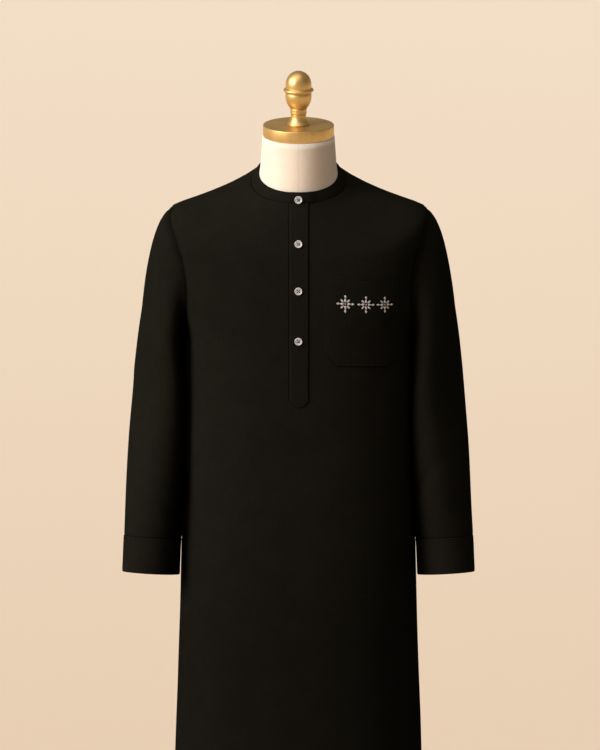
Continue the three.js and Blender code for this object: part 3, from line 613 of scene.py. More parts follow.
# ---- Sleeves ----
# Two set-in sleeves of the same suiting, each one piece with a single seam under the arm. The head of
# each is eased into the armhole, and the sleeve hangs from it nearly straight, a little forward.
SLEEVE_COLUMNS = "z x y half deep lean pitch turn".split()
SLEEVE = (
    (0.807, 0.2460, -0.042, 0.0494, 0.042, 3.5, 10, 22),
    (0.868, 0.2438, -0.033, 0.0482, 0.048, 3.2, 9, 24),
    (0.922, 0.2417, -0.028, 0.0462, 0.055, 3.0, 7, 25),
    (1.025, 0.2375, -0.016, 0.0406, 0.065, 2.8, 5, 26),
    (1.128, 0.2333, -0.003, 0.0345, 0.074, 2.5, 3, 22),
    (1.188, 0.2310, 0.002, 0.0334, 0.077, 2.0, 2, 16),
)
SLEEVE_TOP, CUFF_SEAM, CUFF_HEM = 1.188, 0.868, 0.807
ARMPIT = 1.195
SLEEVE_HEAD = SimpleNamespace(outward=(0.9, 0, -0.44), share=0.62, start=0.17, end=0.4)
ARMHOLE_HEIGHTS = (  # from the underarm to the shoulder tip
    1.200, 1.206, 1.224, 1.258, 1.277, 1.296, 1.315, 1.334, 1.351, 1.368, 1.398, 1.414, 1.427
)
SLEEVE_DEGREE = 0.0007
SLEEVE_PRESS = (  # heights, and how far the body holds the sleeve's inner side in
    (0.807, 0.850, 0.880, 0.930, 1.000), (-0.0013, -0.0008, 0.0012, 0.0030, 0.0042)
)
# INNER_ANGLE is the angle of the sleeve's inner side, where the body presses it in and painted shade is
# darkest; INNER_SHADE is how far that painted shade spreads on sleeves and cuffs, in degrees.
INNER_ANGLE = -42
INNER_SHADE = {"left": 34, "right": 48}
SLEEVE_FOLDS = {  # from angle and height, to angle and height, half-width, depth
    "left": (
        (-8, 1.196, -62, 1.060, 0.013, 0.0030),
        (30, 1.010, -50, 0.930, 0.012, 0.0022),
        (150, 1.150, 215, 1.020, 0.014, 0.0030),
    ),
    "right": (
        (-4, 1.232, -70, 1.090, 0.014, 0.0036),
        (40, 0.960, -40, 0.900, 0.011, 0.0020),
        (145, 1.120, 210, 0.980, 0.014, 0.0030),
    ),
}
sleeve_section = curves_over(SLEEVE_COLUMNS, SLEEVE)
armhole_height = steady_curve(range(len(ARMHOLE_HEIGHTS)), ARMHOLE_HEIGHTS)


def arm_point(z, angle):
    """A point of the sleeve below the armpit: angle 0 is its front and 90 its outer side."""
    z, angle = np.broadcast_arrays(np.asarray(z, float), np.asarray(angle, float))
    section = sleeve_section(z)
    lean, pitch, turn = np.radians(section.lean), np.radians(section.pitch), np.radians(section.turn)
    across = section.half * np.sin(np.radians(angle))
    ahead = section.deep * np.cos(np.radians(angle))
    outward = across * np.cos(turn) - ahead * np.sin(turn)
    forward = across * np.sin(turn) + ahead * np.cos(turn)
    press = np.interp(z, *SLEEVE_PRESS) * bell(turned_by(angle, INNER_ANGLE), 50)
    return np.stack((
        section.x + outward * np.cos(lean) - press,
        section.y - forward * np.cos(pitch),
        z + outward * np.sin(lean) + forward * np.sin(pitch),
    ), axis=-1)


def armhole_edge(angle):
    """The armhole's edge and the body's way out there; angle 90 is the shoulder tip, 270 the underarm."""
    turn = (angle - 90) % 360
    behind = turn <= 180
    share = np.where(behind, 180 - turn, turn - 180) / 180
    height = armhole_height(share * (len(ARMHOLE_HEIGHTS) - 1))
    section = body_section(height)
    body_angle = angle_at(height, np.where(behind, section.arm_back, section.arm_front))
    return body_surface(height, body_angle), way_out(body_surface, height, body_angle, BODY_STEPS)


def armhole_start(angle):
    """Where a sleeve starts, the way off the panel there, and the way out."""
    edge, outward = armhole_edge(angle)
    along = unit(armhole_edge(angle - 4)[0] - armhole_edge(angle + 4)[0])
    away = unit(np.cross(outward, along))
    return edge + away * SEAM, away, outward


def head_point(share, angle):
    """A point of the sleeve head: share 1 is on the arm and 0 at the armhole."""
    start, away, _ = armhole_start(angle)
    end = arm_point(SLEEVE_TOP, angle)
    up_arm = unit(end - arm_point(SLEEVE_TOP - 0.005, angle))
    reach = np.linalg.norm(end - start, axis=-1, keepdims=True)
    leave = unit(away * (1 - SLEEVE_HEAD.share) + np.array(SLEEVE_HEAD.outward) * SLEEVE_HEAD.share)
    first = start + leave * reach * SLEEVE_HEAD.start
    second = end + up_arm * reach * SLEEVE_HEAD.end
    t = share[..., None]
    return start * (1 - t) ** 3 + 3 * first * t * (1 - t) ** 2 + 3 * second * t * t * (1 - t) + end * t**3


def off_body(points):
    """Sleeve points below the armpit, moved out to where they only just touch the body's cloth."""
    section = body_section(points[..., 2])
    depth = np.where(points[..., 1] < 0, section.ahead, section.behind)
    sides = np.abs(points[..., 0] / section.half) ** section.square
    reach = (sides + np.abs(points[..., 1] / depth) ** section.square) ** (1 / section.square)
    away = np.where(points[..., 2] < ARMPIT, np.maximum(1, 1.002 / reach), 1)
    return points * np.stack((away, away, 1 + 0 * away), axis=-1)


def sleeve_cloth(side):
    angles = np.linspace(0, 360, 113)[None, :]
    arm_heights = finer_at(np.linspace(CUFF_SEAM, SLEEVE_TOP, 76), (CUFF_SEAM,), 0.0016)[:, None]
    head_shares = finer_at(np.linspace(0.985, 0, 62), (0.0,), 0.012)[:, None]
    arm = arm_point(*np.broadcast_arrays(arm_heights, angles))
    head = head_point(*np.broadcast_arrays(head_shares, angles))
    points = np.concatenate((arm, head))
    shares = np.concatenate((np.ones(len(arm)), head_shares[:, 0]))[:, None]
    section = sleeve_section(np.minimum(points[..., 2], SLEEVE_TOP))
    middle = np.stack((section.x, section.y, points[..., 2]), axis=-1)
    inward = sum(trough(angles, points[..., 2], fold, SLEEVE_DEGREE) for fold in SLEEVE_FOLDS[side])
    phase = 0.3 if side == "left" else 1.1
    inward = inward + rumple(0.09 * np.sin(np.radians(angles)) + phase, points[..., 2], 0.0005)
    points = points - unit(points - middle) * (inward * shares)[..., None]
    points = off_body(points)
    along, up = cut_lengths(points)
    to_head = up[-1:] - up
    roll = sewn_edge(up) + sewn_edge(to_head)
    # Painted shade on the inner side of the sleeve, weaker near its head, and a band of painted shade beside
    # the armhole seam.
    wear_and_painted_light = -0.95 * bell(turned_by(angles, INNER_ANGLE), INNER_SHADE[side]) + 0 * up
    wear_and_painted_light = wear_and_painted_light * np.clip(to_head / 0.05, 0.2, 1) - 0.45 * bell(to_head, 0.014)
    points = points - grid_normals(points, around=True) * roll[..., None]
    _, away, outward = armhole_start(angles)
    allowance = points[-1:] - away * 0.003 - outward * UNDERLAP
    points = np.concatenate((points, (points[-1:] + allowance) / 2 - outward * UNDERLAP / 3, allowance))
    wear_and_painted_light = np.concatenate((wear_and_painted_light, wear_and_painted_light[-1:], wear_and_painted_light[-1:]))
    name = f"sleeve_cloth_{side}"
    piece = cloth_shell(name, points, CLOTH, around=True, mirrored=side == "right", wear_and_painted_light=wear_and_painted_light)
    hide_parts(f"sleeve_{side}")


for side in ("left", "right"):
    sleeve_cloth(side)


# ---- Cuffs ----
# A plain closed band of doubled suiting, sewn on where the sleeve ends and topstitched along its seam.
CUFF_CLOTH, CUFF_PROUD = 0.0022, 0.0004
CUFF_STITCHES = (0.0046, 0.0086)


def cuff_cloth(side):
    top = CUFF_SEAM - SEAM
    lines = [top - drop for drop in CUFF_STITCHES]
    heights = finer_at(np.linspace(CUFF_HEM, top, 24), [top, CUFF_HEM, *lines], 0.0012)[:, None]
    round_angles = np.linspace(0, 360, 113)[None, :]
    points = arm_point(heights, round_angles)
    outward = grid_normals(points, around=True)
    along, up = cut_lengths(points)
    to_top = up[-1:] - up
    inward = sewn_edge(to_top) - CUFF_PROUD + sewn_edge(up, SimpleNamespace(depth=0.0006, width=0.0012))
    for drop in CUFF_STITCHES:
        inward = inward + 0.0004 * bell(to_top - drop, 0.0007)
    # A rubbed hem; a thin line of painted shade at the seam above, and painted shade on the inner side of
    # the cuff.
    wear_and_painted_light = 0.3 * np.exp(-up / 0.002) - 0.15 * bell(to_top, 0.0016)
    wear_and_painted_light = wear_and_painted_light - 0.75 * bell(turned_by(round_angles, INNER_ANGLE), INNER_SHADE[side])
    points = points - outward * inward[..., None]
    name = f"cuff_cloth_{side}"
    piece = cloth_shell(name, points, CUFF_CLOTH, around=True, mirrored=side == "right", wear_and_painted_light=wear_and_painted_light)
    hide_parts(f"cuff_{side}")


for side in ("left", "right"):
    cuff_cloth(side)


# ---- Standing collar ----
# A narrow doubled band that stands up from the neckline. Its upper end comes round from the wearer's
# left and laps over the other by the placket's width, fastened by the first button.
BAND_TOP = SimpleNamespace(
    side=1.4827, front=1.467, back=1.514, half=0.0664, ahead=0.075, behind=0.057, square=1.97, roll=1.0
)
BAND_BULGE = 0.0007
BAND_CLOTH = 0.0019
LAP_HALF, LAP_LIFT, LAP_RISE = 0.01685, 0.0023, 14.0
NECK_FRONT = 0.079
LAP_ANGLE = math.degrees(math.atan2(LAP_HALF, NECK_FRONT))
BAND_STEPS = (0.05, 1.0)
FOLDED_EDGE = SimpleNamespace(depth=0.0005, width=0.0010)


def band_surface(share, angle):
    share, angle = np.broadcast_arrays(np.asarray(share, float), np.asarray(angle, float))
    foot = ring_point(body_section(NECKLINE), angle)
    top = ring_point(BAND_TOP, angle)
    foot_up = foot + unit(top - foot) * SEAM
    away = unit(foot * (1, 1, 0))
    bulge = (BAND_BULGE * np.sin(np.pi * share))[..., None]
    return foot_up + (top - foot_up) * share[..., None] + away * bulge


def band_point(share, angle, out=0.0):
    outward = way_out(band_surface, share, angle, BAND_STEPS)
    return band_surface(share, angle) + outward * np.asarray(out)[..., None]


def band_lift(turn):
    """How far the band stands off itself where its upper end crosses the under one."""
    start = 360 - LAP_ANGLE - LAP_RISE
    return LAP_LIFT * eased(np.clip((turn - start) / (LAP_RISE - 1), 0, 1))


def collar():
    turns = finer_at(np.linspace(360 + LAP_ANGLE, -LAP_ANGLE, 300), (360 + LAP_ANGLE, -LAP_ANGLE), 0.8)
    turns = turns[None, :]
    shares = finer_at(np.linspace(-0.2, 1, 19), (0, 0.09, 0.91, 1), 0.03)[:, None]
    points = band_point(shares, -turns, band_lift(turns) + 0 * shares)
    outward = grid_normals(points, around=False)
    along, up = cut_lengths(points)
    to_foot = shares * up[-1:] / 1.2
    to_top = up[-1:] - up
    to_end = np.minimum(along, along[:, -1:] - along)
    inward = sewn_edge(to_foot, NECK_ROLL) + UNDERLAP * np.clip(-to_foot / 0.0008, 0, 1)
    inward = inward + sewn_edge(to_top, FOLDED_EDGE) + sewn_edge(to_end, FOLDED_EDGE)
    wear_and_painted_light = 0.3 * np.exp(-to_top / 0.0015) + 0.15 * np.exp(-to_end / 0.0015)
    piece = cloth_shell("collar_cloth", points - outward * inward[..., None], BAND_CLOTH, wear_and_painted_light=wear_and_painted_light)
    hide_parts("collar_band")


collar()


# ---- Placket ----
# A long strip of doubled suiting that runs from the collar down the middle of the front to a shallow
# point, sewn down both sides and across above the point.
PLACKET = SimpleNamespace(
    half=0.01685, top=1.4494, shoulder=1.123, point=1.110, sweep=2.2, cloth=0.0015, lift=0.00035
)
PLACKET_SEWING = 0.0019
PLACKET_BAR = 1.153


def placket_place(across, share):
    foot = PLACKET.point + (PLACKET.shoulder - PLACKET.point) * np.abs(across) ** PLACKET.sweep
    return PLACKET.half * across, foot + (PLACKET.top - foot) * share


def laid_patch(distance, cloth, sewing):
    """How far a patch sewn on a panel stands off it, from the distance to its own edge."""
    edge = cloth * (0.35 + 0.65 * np.clip(distance / 0.0011, 0, 1) ** 0.6)
    return edge - 0.00045 * bell(distance - sewing, 0.0006)


def placket_cloth():
    inset = PLACKET_SEWING / PLACKET.half
    across = finer_at(np.linspace(-1, 1, 33), (-1 + inset, 1 - inset, -1, 1), 0.055)[None, :]
    shares = finer_at(np.linspace(0, 1, 170), (0.0,), 0.004)[:, None]
    x, z = placket_place(across, shares)
    foot = placket_place(across, 0 * shares)[1]
    distance = np.minimum(PLACKET.half - np.abs(x), (z - foot) * 0.9)
    out = laid_patch(distance, PLACKET.cloth, PLACKET_SEWING)
    out -= 0.0004 * bell(z - PLACKET_BAR, 0.0008)
    points = front_point(x, z, PLACKET.lift + out)
    to_side = PLACKET.half - np.abs(x) + 0 * z
    # A dark line of painted shade along each edge and a painted highlight along the ridge just inside it.
    wear_and_painted_light = 0.5 * bell(to_side - 0.0026, 0.0009) - 1.2 * bell(to_side, 0.0011)
    piece = cloth_shell("placket_cloth", points, 0.0004, wear_and_painted_light=wear_and_painted_light)
    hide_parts("placket")


placket_cloth()


# ---- Breast pocket ----
# A patch pocket on the wearer's left breast with its two lower corners cut off, turned in all round
# and sewn down with two lines of stitches; its mouth has a narrow hem.
POCKET = SimpleNamespace(
    x=0.1055, z=1.329, width=0.125, height=0.152, chamfer=0.020, slant=5.0, cloth=0.0013, lift=0.0005
)
POCKET_SEWING = (0.0016, 0.0046)
POCKET_HEM = 0.0062
PUCKER_TURNS = 780


def pocket_point(along, below, out):
    """The point of the breast that is so far along and below the middle of the pocket's mouth."""
    slant = math.radians(POCKET.slant)
    x = POCKET.x + along * math.cos(slant) + 0 * below
    z = POCKET.z - along * math.sin(slant) - below
    return front_point(x, z, POCKET.lift + out)


def pocket_inset(along, below):
    """How far inside the pocket's sides, cut corners and foot a point lies."""
    side = POCKET.width / 2 - np.abs(along)
    foot = POCKET.height - below
    corner = (side + foot - POCKET.chamfer) / math.sqrt(2)
    return np.minimum(np.minimum(side, foot), corner)


def pocket_cloth():
    down = finer_at(np.linspace(0, POCKET.height, 90), (0.0008, POCKET_HEM), 0.0012)
    down = finer_at(down, [POCKET.height - inset for inset in POCKET_SEWING], 0.0012)
    below = down[::-1][:, None]
    insets = [inset / (POCKET.width / 2) for inset in (0.0005, *POCKET_SEWING)]
    ends = [-1 + inset for inset in insets] + [1 - inset for inset in insets]
    across = finer_at(np.linspace(-1, 1, 80), ends, 0.014)[None, :]
    cut = np.maximum(0, below - (POCKET.height - POCKET.chamfer))
    along = across * (POCKET.width / 2 - cut)
    below = below + 0 * across
    distance = pocket_inset(along, below)
    out = laid_patch(distance, POCKET.cloth, POCKET_SEWING[0])
    out -= 0.0004 * bell(distance - POCKET_SEWING[1], 0.0006)
    out -= 0.0004 * bell(below - POCKET_HEM, 0.0007)
    out += 0.0001 * np.sin(along * PUCKER_TURNS) * bell(POCKET.height - below - 0.004, 0.005)
    points = pocket_point(along, below, out)
    near_foot = np.clip((below / POCKET.height - 0.8) / 0.2, 0, 1)
    # Painted shade along the pocket's edges, deepest at its foot, and a painted highlight just inside them.
    wear_and_painted_light = -(0.3 + 0.6 * near_foot) * bell(distance, 0.0010)
    wear_and_painted_light = wear_and_painted_light + (0.2 + 0.3 * near_foot) * bell(distance - 0.0028, 0.0009)
    piece = cloth_shell("pocket_cloth", points, 0.0005, wear_and_painted_light=wear_and_painted_light)
    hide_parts("chest_pocket")


pocket_cloth()


# ---- Sewing ----
# Black cotton thread: the lines of stitches that hold the placket, the pocket, the collar, the cuffs,
# the shoulders and the hem, each stitch sunk a little into the cloth.
STITCH = SimpleNamespace(pitch=0.0029, length=0.0021, radius=0.00021, proud=0.00004)


def thread_finish(name, dark, light, roughness):
    """Twisted thread with a slight lustre."""
    thread = Finish(name)
    place = thread.place()
    ply = (thread.part(place, "X") * 5200 + thread.part(place, "Z") * 7400).sine() * 0.5 + 0.5
    uneven = thread.noise(place, 900.0, 2.0)
    share = ply * 0.55 + uneven * 0.45
    return thread.surface({
        "Base Color": thread.mixed(share, dark, light),
        "Roughness": roughness + uneven * 0.15,
        "Specular IOR Level": 0.12,
        "Normal": thread.bump(ply, 0.00005, 0.6),
    })


DARK_COTTON, PALE_COTTON = (0.004, 0.0035, 0.003, 1), (0.012, 0.011, 0.009, 1)
black_thread = thread_finish("black_cotton_thread", DARK_COTTON, PALE_COTTON, 0.8)


def strand(strands, start, end, outward, radius):
    """A short length of thread from one point to another."""
    run = end - start
    along = run.normalized()
    sideways = outward.cross(along).normalized() * radius
    upward = along.cross(sideways.normalized()) * radius
    half = run / 2
    middle = (start + end) / 2
    turned = Matrix((sideways, upward, half)).transposed().to_4x4()
    matrix = Matrix.Translation(middle) @ turned
    bmesh.ops.create_uvsphere(strands, u_segments=6, v_segments=4, radius=1, matrix=matrix)


def reach_along(points):
    """How far along a row of points each of them lies."""
    return np.concatenate(((0,), np.linalg.norm(np.diff(points, axis=0), axis=1).cumsum()))


def stitch_line(strands, points, outward):
    """A line of stitches of equal length along a row of points."""
    reach = reach_along(points)
    count = max(1, int(reach[-1] / STITCH.pitch))
    middles = (np.arange(count) + 0.5) * reach[-1] / count

    def on_line(columns, places):
        return np.stack([np.interp(places, reach, column) for column in columns.T], axis=-1)

    ups = unit(on_line(outward, middles))
    firsts = on_line(points, middles - STITCH.length / 2) + ups * STITCH.proud
    lasts = on_line(points, middles + STITCH.length / 2) + ups * STITCH.proud
    for first, last, up in zip(firsts, lasts, ups):
        strand(strands, Vector(first), Vector(last), Vector(up), STITCH.radius)


def sewing(name, lines):
    strands = bmesh.new()
    for points, outward in lines:
        stitch_line(strands, points, outward)
    finished(name, strands, black_thread)


def on_front(x, z, out):
    """A line on the front, and the way out along it."""
    height, angle = front_place(x, z)
    outward = way_out(body_surface, height, angle, BODY_STEPS)
    return body_surface(height, angle) + outward * out, outward


down_placket = np.linspace(1, 0.02, 160)
placket_out = PLACKET.lift + PLACKET.cloth - 0.0004
placket_lines = []
for side in (-1, 1):
    across = side * (1 - PLACKET_SEWING / PLACKET.half)
    placket_lines.append(on_front(*placket_place(across, down_placket), placket_out))
bar = np.linspace(-1, 1, 12) * (PLACKET.half - PLACKET_SEWING)
placket_lines.append(on_front(bar, PLACKET_BAR + 0 * bar, placket_out))
point_across = np.linspace(-1, 1, 24) * (1 - PLACKET_SEWING / PLACKET.half)
point_z = placket_place(point_across, 0)[1] + PLACKET_SEWING
placket_lines.append(on_front(PLACKET.half * point_across, point_z, placket_out))
sewing("placket_sewing", placket_lines)


def pocket_line(corners):
    """A line of sewing on the pocket through corners given as (along, below)."""
    corners = np.array(corners)
    reach = reach_along(corners)
    steps = np.linspace(0, reach[-1], 120)
    along, below = (np.interp(steps, reach, column) for column in corners.T)
    out = POCKET.cloth - 0.0004
    points = pocket_point(along, below, out)
    return points, unit(points - pocket_point(along, below, out - 0.001))


def pocket_outline(inset):
    half = POCKET.width / 2 - inset
    cut = POCKET.chamfer - inset * (2 - math.sqrt(2))
    foot = POCKET.height - inset
    return [(-half, 0.001), (-half, foot - cut), (-half + cut, foot), (half - cut, foot), (half, foot - cut),
            (half, 0.001)]


mouth_half = POCKET.width / 2 - POCKET_SEWING[0]
sewing("pocket_sewing", [
    *(pocket_line(pocket_outline(inset)) for inset in POCKET_SEWING),
    pocket_line([(-mouth_half, POCKET_HEM), (mouth_half, POCKET_HEM)]),
])

band_turns = np.linspace(360 + LAP_ANGLE - 1.4, LAP_ANGLE + 1, 300)
collar_lines = []
for share in (0.1, 0.9):
    angles = -band_turns
    outward = way_out(band_surface, share, angles, BAND_STEPS)
    collar_lines.append((band_point(share, angles, band_lift(band_turns)), outward))
end_shares = np.linspace(0.1, 0.9, 12)
end_angle = -(360 + LAP_ANGLE - 1.4)
collar_lines.append((
    band_point(end_shares, end_angle, LAP_LIFT),
    way_out(band_surface, end_shares, end_angle, BAND_STEPS),
))
sewing("collar_sewing", collar_lines)

round_cuff = np.linspace(0, 360, 160)
for side in ("left", "right"):
    mirror = np.array((-1 if side == "right" else 1, 1, 1))
    lines = []
    for drop in CUFF_STITCHES:
        z = CUFF_SEAM - SEAM - drop + 0 * round_cuff
        outward = way_out(arm_point, z, round_cuff, (0.002, 2.0))
        points = arm_point(z, round_cuff) + outward * (CUFF_PROUD - 0.0004)
        lines.append((points * mirror, outward * mirror))
    sewing(f"cuff_sewing_{side}", lines)

hem_angles = np.linspace(0, 360, 400)
hem_line = HEM + HEM_TURN + 0 * hem_angles
sewing("hem_sewing", [(
    body_point(hem_line, hem_angles, -0.0006),
    way_out(body_surface, hem_line, hem_angles, BODY_STEPS),
)])

shoulder_heights = np.linspace(SHOULDER_TIP + 0.001, NECKLINE - 0.001, 60)
shoulder_lines = []
for step in (-0.0032, 0.0032):
    seam_angles = angle_at(shoulder_heights, body_section(shoulder_heights).arm_front + step)
    for angles in (seam_angles, -seam_angles):
        shoulder_lines.append((
            body_point(shoulder_heights, angles, -0.0001),
            way_out(body_surface, shoulder_heights, angles, BODY_STEPS),
        ))
sewing("shoulder_sewing", shoulder_lines)


# ---- Buttons ----
# Four round buttons of grey mother-of-pearl with a raised rim and four holes, sewn on with black thread
# that crosses from hole to hole. The first closes the collar and the others run down the placket.
BUTTON = SimpleNamespace(radius=0.0065, foot=0.0052, rim=0.0058, dish=0.0047, top=0.0025, floor=0.0019)
HOLE = SimpleNamespace(radius=0.0011, ring=0.0022, count=4)
BAND_BUTTON = 0.28
PLACKET_BUTTONS = (1.385, 1.308, 1.2235)


def pearl_finish():
    """Grey mother-of-pearl: cloudy bands, paler and darker by turns, under a clear polish."""
    pearl = Finish("grey_mother_of_pearl")
    place = pearl.place()
    cloudy = pearl.noise(pearl.stretched(place, (260, 260, 520)), 1.0, 3.0, 0.6)
    bands = (cloudy * 26 + pearl.part(place, "Z") * 900).sine() * 0.5 + 0.5
    grey = pearl.mixed(bands * 0.7, (0.62, 0.60, 0.58, 1), (0.36, 0.345, 0.335, 1))
    return pearl.surface({
        "Base Color": grey,
        "Roughness": 0.22 + cloudy * 0.2,
        "Coat Weight": 0.4,
        "Coat Roughness": 0.15,
        "Normal": pearl.bump(bands, 0.00004, 0.3),
    })


grey_pearl = pearl_finish()


def turn_outline(shape, outline, steps, join):
    """Adds to a shape what an outline of (radius, height) pairs sweeps when it turns once round Z."""
    verts = [shape.verts.new((radius, 0, height)) for radius, height in outline]
    edges = [shape.edges.new(pair) for pair in zip(verts, verts[1:])]
    bmesh.ops.spin(shape, geom=verts + edges, cent=(0, 0, 0), axis=(0, 0, 1), angle=2 * math.pi, steps=steps,
                   use_merge=True)
    bmesh.ops.remove_doubles(shape, verts=shape.verts, dist=join)
    bmesh.ops.recalc_face_normals(shape, faces=shape.faces)


def button_shape():
    """A button that faces up +Z: its dished face with four holes, its rim, side and foot."""
    shape = bmesh.new()
    loops = []
    for height in (BUTTON.floor, 0.0):
        rims = []
        middles = [(0.0, BUTTON.dish if height else BUTTON.foot, 48)]
        for k in range(HOLE.count):
            middles.append((math.radians(45 + 360 * k / HOLE.count), HOLE.radius, 16))
        for k, (turn, radius, sides) in enumerate(middles):
            centre = Vector((HOLE.ring * math.cos(turn), HOLE.ring * math.sin(turn), 0)) if k else Vector()
            place = Matrix.Translation(centre + Vector((0, 0, height)))
            ring = bmesh.ops.create_circle(shape, segments=sides, radius=radius, matrix=place)["verts"]
            rims.append({edge for vert in ring for edge in vert.link_edges})
        bmesh.ops.triangle_fill(shape, use_beauty=True, use_dissolve=False, edges=list(set().union(*rims)))
        loops.append(rims)
    for upper, lower in zip(loops[0][1:], loops[1][1:]):
        bmesh.ops.bridge_loops(shape, edges=list(upper | lower))
    outline = ((BUTTON.dish, BUTTON.floor), (BUTTON.dish + 0.0004, BUTTON.floor + 0.0003),
               (BUTTON.rim - 0.0003, BUTTON.top), (BUTTON.rim + 0.0002, BUTTON.top - 0.0001),
               (BUTTON.radius, BUTTON.top - 0.0007), (BUTTON.radius, 0.0008),
               (BUTTON.radius - 0.0005, 0.0002), (BUTTON.foot, 0.0))
    turn_outline(shape, outline, 48, 2e-6)
    return shape


def sewn_button(number, place, outward):
    right = Vector((1, 0, 0))
    upward = outward.cross(right).normalized()
    turned = Matrix((right, upward, outward)).transposed().to_4x4()
    matrix = Matrix.Translation(place) @ turned
    shape = button_shape()
    shape.transform(matrix)
    piece = finished(f"pearl_button_{number}", shape, grey_pearl, f"button_{number}")
    piece.data.set_sharp_from_angle(angle=math.radians(40))
    threads = bmesh.new()
    lift = outward * (BUTTON.floor + 0.0001)
    for turn in (45, 135) if number == 1 else (45,):
        step = HOLE.ring * (right * math.cos(math.radians(turn)) + upward * math.sin(math.radians(turn)))
        across = outward.cross(step).normalized()
        for shift in (-0.00028, 0.0, 0.00028):
            middle = place + lift + across * shift
            strand(threads, middle - step * 1.15, middle + step * 1.15, outward, 0.00026)
    finished(f"button_thread_{number}", threads, black_thread)


def sew_on(number, lower, middle, upper):
    up = Vector(upper) - Vector(lower)
    outward = Vector((1, 0, 0)).cross(up).normalized()
    sewn_button(number, Vector(middle), outward)


band_face = LAP_LIFT + SEAM
sew_on(1, *(band_point(np.array(BAND_BUTTON + step), np.array(0.0), band_face) for step in (-0.2, 0, 0.2)))
for k, z in enumerate(PLACKET_BUTTONS):
    face = PLACKET.lift + PLACKET.cloth + SEAM
    sew_on(k + 2, *(front_point(0.0, z + step, face) for step in (-0.005, 0, 0.005)))


# ---- Stars ----
# Three small stars embroidered in a row on the pocket in silver-grey thread: four long arms that end in
# buds, four short petals between them, and a ring of dark red thread round a pale knot.
STARS = ((-0.0279, 0.0456, 1.0), (0.0065, 0.0456, 0.95), (0.0375, 0.0456, 0.90))  # along, below, size
STAR_LEAVES = (  # first turn, from radius, to radius, greatest width, where it is widest, strands
    (0, 0.0026, 0.0086, 0.0050, 0.45, 13),
    (0, 0.0082, 0.0106, 0.0014, 0.50, 5),
    (0, 0.0098, 0.0150, 0.0042, 0.42, 12),
    (45, 0.0036, 0.0106, 0.0036, 0.70, 14),
)
STAR_RING = SimpleNamespace(radius=0.0027, width=0.0014, strands=22)
STAR_THREAD = 0.00030

DARK_SILVER, PALE_SILVER = (0.44, 0.42, 0.41, 1), (0.84, 0.82, 0.80, 1)
DARK_RED, PALE_RED = (0.10, 0.012, 0.018, 1), (0.30, 0.045, 0.06, 1)
silver_thread = thread_finish("silver_embroidery_thread", DARK_SILVER, PALE_SILVER, 0.45)
red_thread = thread_finish("red_embroidery_thread", DARK_RED, PALE_RED, 0.5)


def star_strands(strands, star, ends):
    """Strands between pairs of ends, each given by radius, turn, how far across the arm, and how far out."""
    radius, turn, across, out = np.array(ends, float).T
    along = star[0] + star[2] * (radius * np.cos(turn) - across * np.sin(turn))
    below = star[1] - star[2] * (radius * np.sin(turn) + across * np.cos(turn))
    points = pocket_point(along, below, POCKET.cloth + out)
    outward = Vector(unit(points[0] - pocket_point(along[:1], below[:1], 0.0)[0]))
    for first, last in zip(points[::2], points[1::2]):
        strand(strands, Vector(first), Vector(last), outward, STAR_THREAD * star[2])


def satin_leaf(turn, leaf):
    """Satin stitch over a leaf: slanting strands side by side, as long as the leaf is wide there."""
    first, last, width, widest, count = leaf
    ends = []
    for k in range(count):
        t = (k + 0.5) / count
        fullness = t / widest if t < widest else (1 - t) / (1 - widest)
        half = width / 2 * math.sin(math.pi / 2 * fullness) ** 0.8
        radius = first + (last - first) * t
        for side in (-1, 1):
            slanted = radius + side * 0.0007 * half / width
            ends.append((slanted, turn, side * half, 0.0004 + 0.0004 * fullness))
    return ends


def star(number, place):
    silver, red = [], []
    for first_turn, *leaf in STAR_LEAVES:
        for quarter in range(4):
            silver += satin_leaf(math.radians(first_turn + 90 * quarter), leaf)
    for k in range(6):
        silver += [(0.0013, math.pi * (k / 6 + half), 0, 0.0010) for half in (0, 1)]
    for k in range(STAR_RING.strands):
        turn = 2 * math.pi * k / STAR_RING.strands
        red.append((STAR_RING.radius - STAR_RING.width / 2, turn, 0, 0.0009))
        red.append((STAR_RING.radius + STAR_RING.width / 2, turn + 0.25, 0, 0.0008))
    for name, ends, finish in (("thread", silver, silver_thread), ("centre", red, red_thread)):
        strands = bmesh.new()
        star_strands(strands, place, ends)
        node = f"star_{number}" if name == "thread" else None
        finished(f"star_{name}_{number}", strands, finish, node)


for number, place in enumerate(STARS, start=1):
    star(number, place)


# ---- Dress form: torso and neck ----
# A padded torso without arms, covered in cream canvas that is pulled smooth and seamed down the middle
# of the front and back. Its arm plates are flat, and the neck rises through the collar to the cap.
TORSO = (  # height, half-width, depth ahead of the middle, depth behind it
    (0.830, 0.146, 0.084, 0.084),
    (0.834, 0.156, 0.094, 0.094),
    (0.850, 0.163, 0.100, 0.101),
    (0.900, 0.168, 0.103, 0.106),
    (0.965, 0.169, 0.101, 0.104),
    (1.035, 0.165, 0.097, 0.096),
    (1.105, 0.163, 0.097, 0.092),
    (1.180, 0.169, 0.104, 0.097),
    (1.245, 0.177, 0.112, 0.104),
)
TORSO_SQUARE = 2.3
ARM_PLATE = 0.184
SHOULDERS_START = 1.290
FORM_INSET, SHOULDER_INSET, COLLAR_INSET, NECK_INSET = 0.0068, 0.0066, 0.0046, 0.0031
NECK = SimpleNamespace(y=-0.005, radius=0.0602, top=1.547)
FORM_SIDES = 96


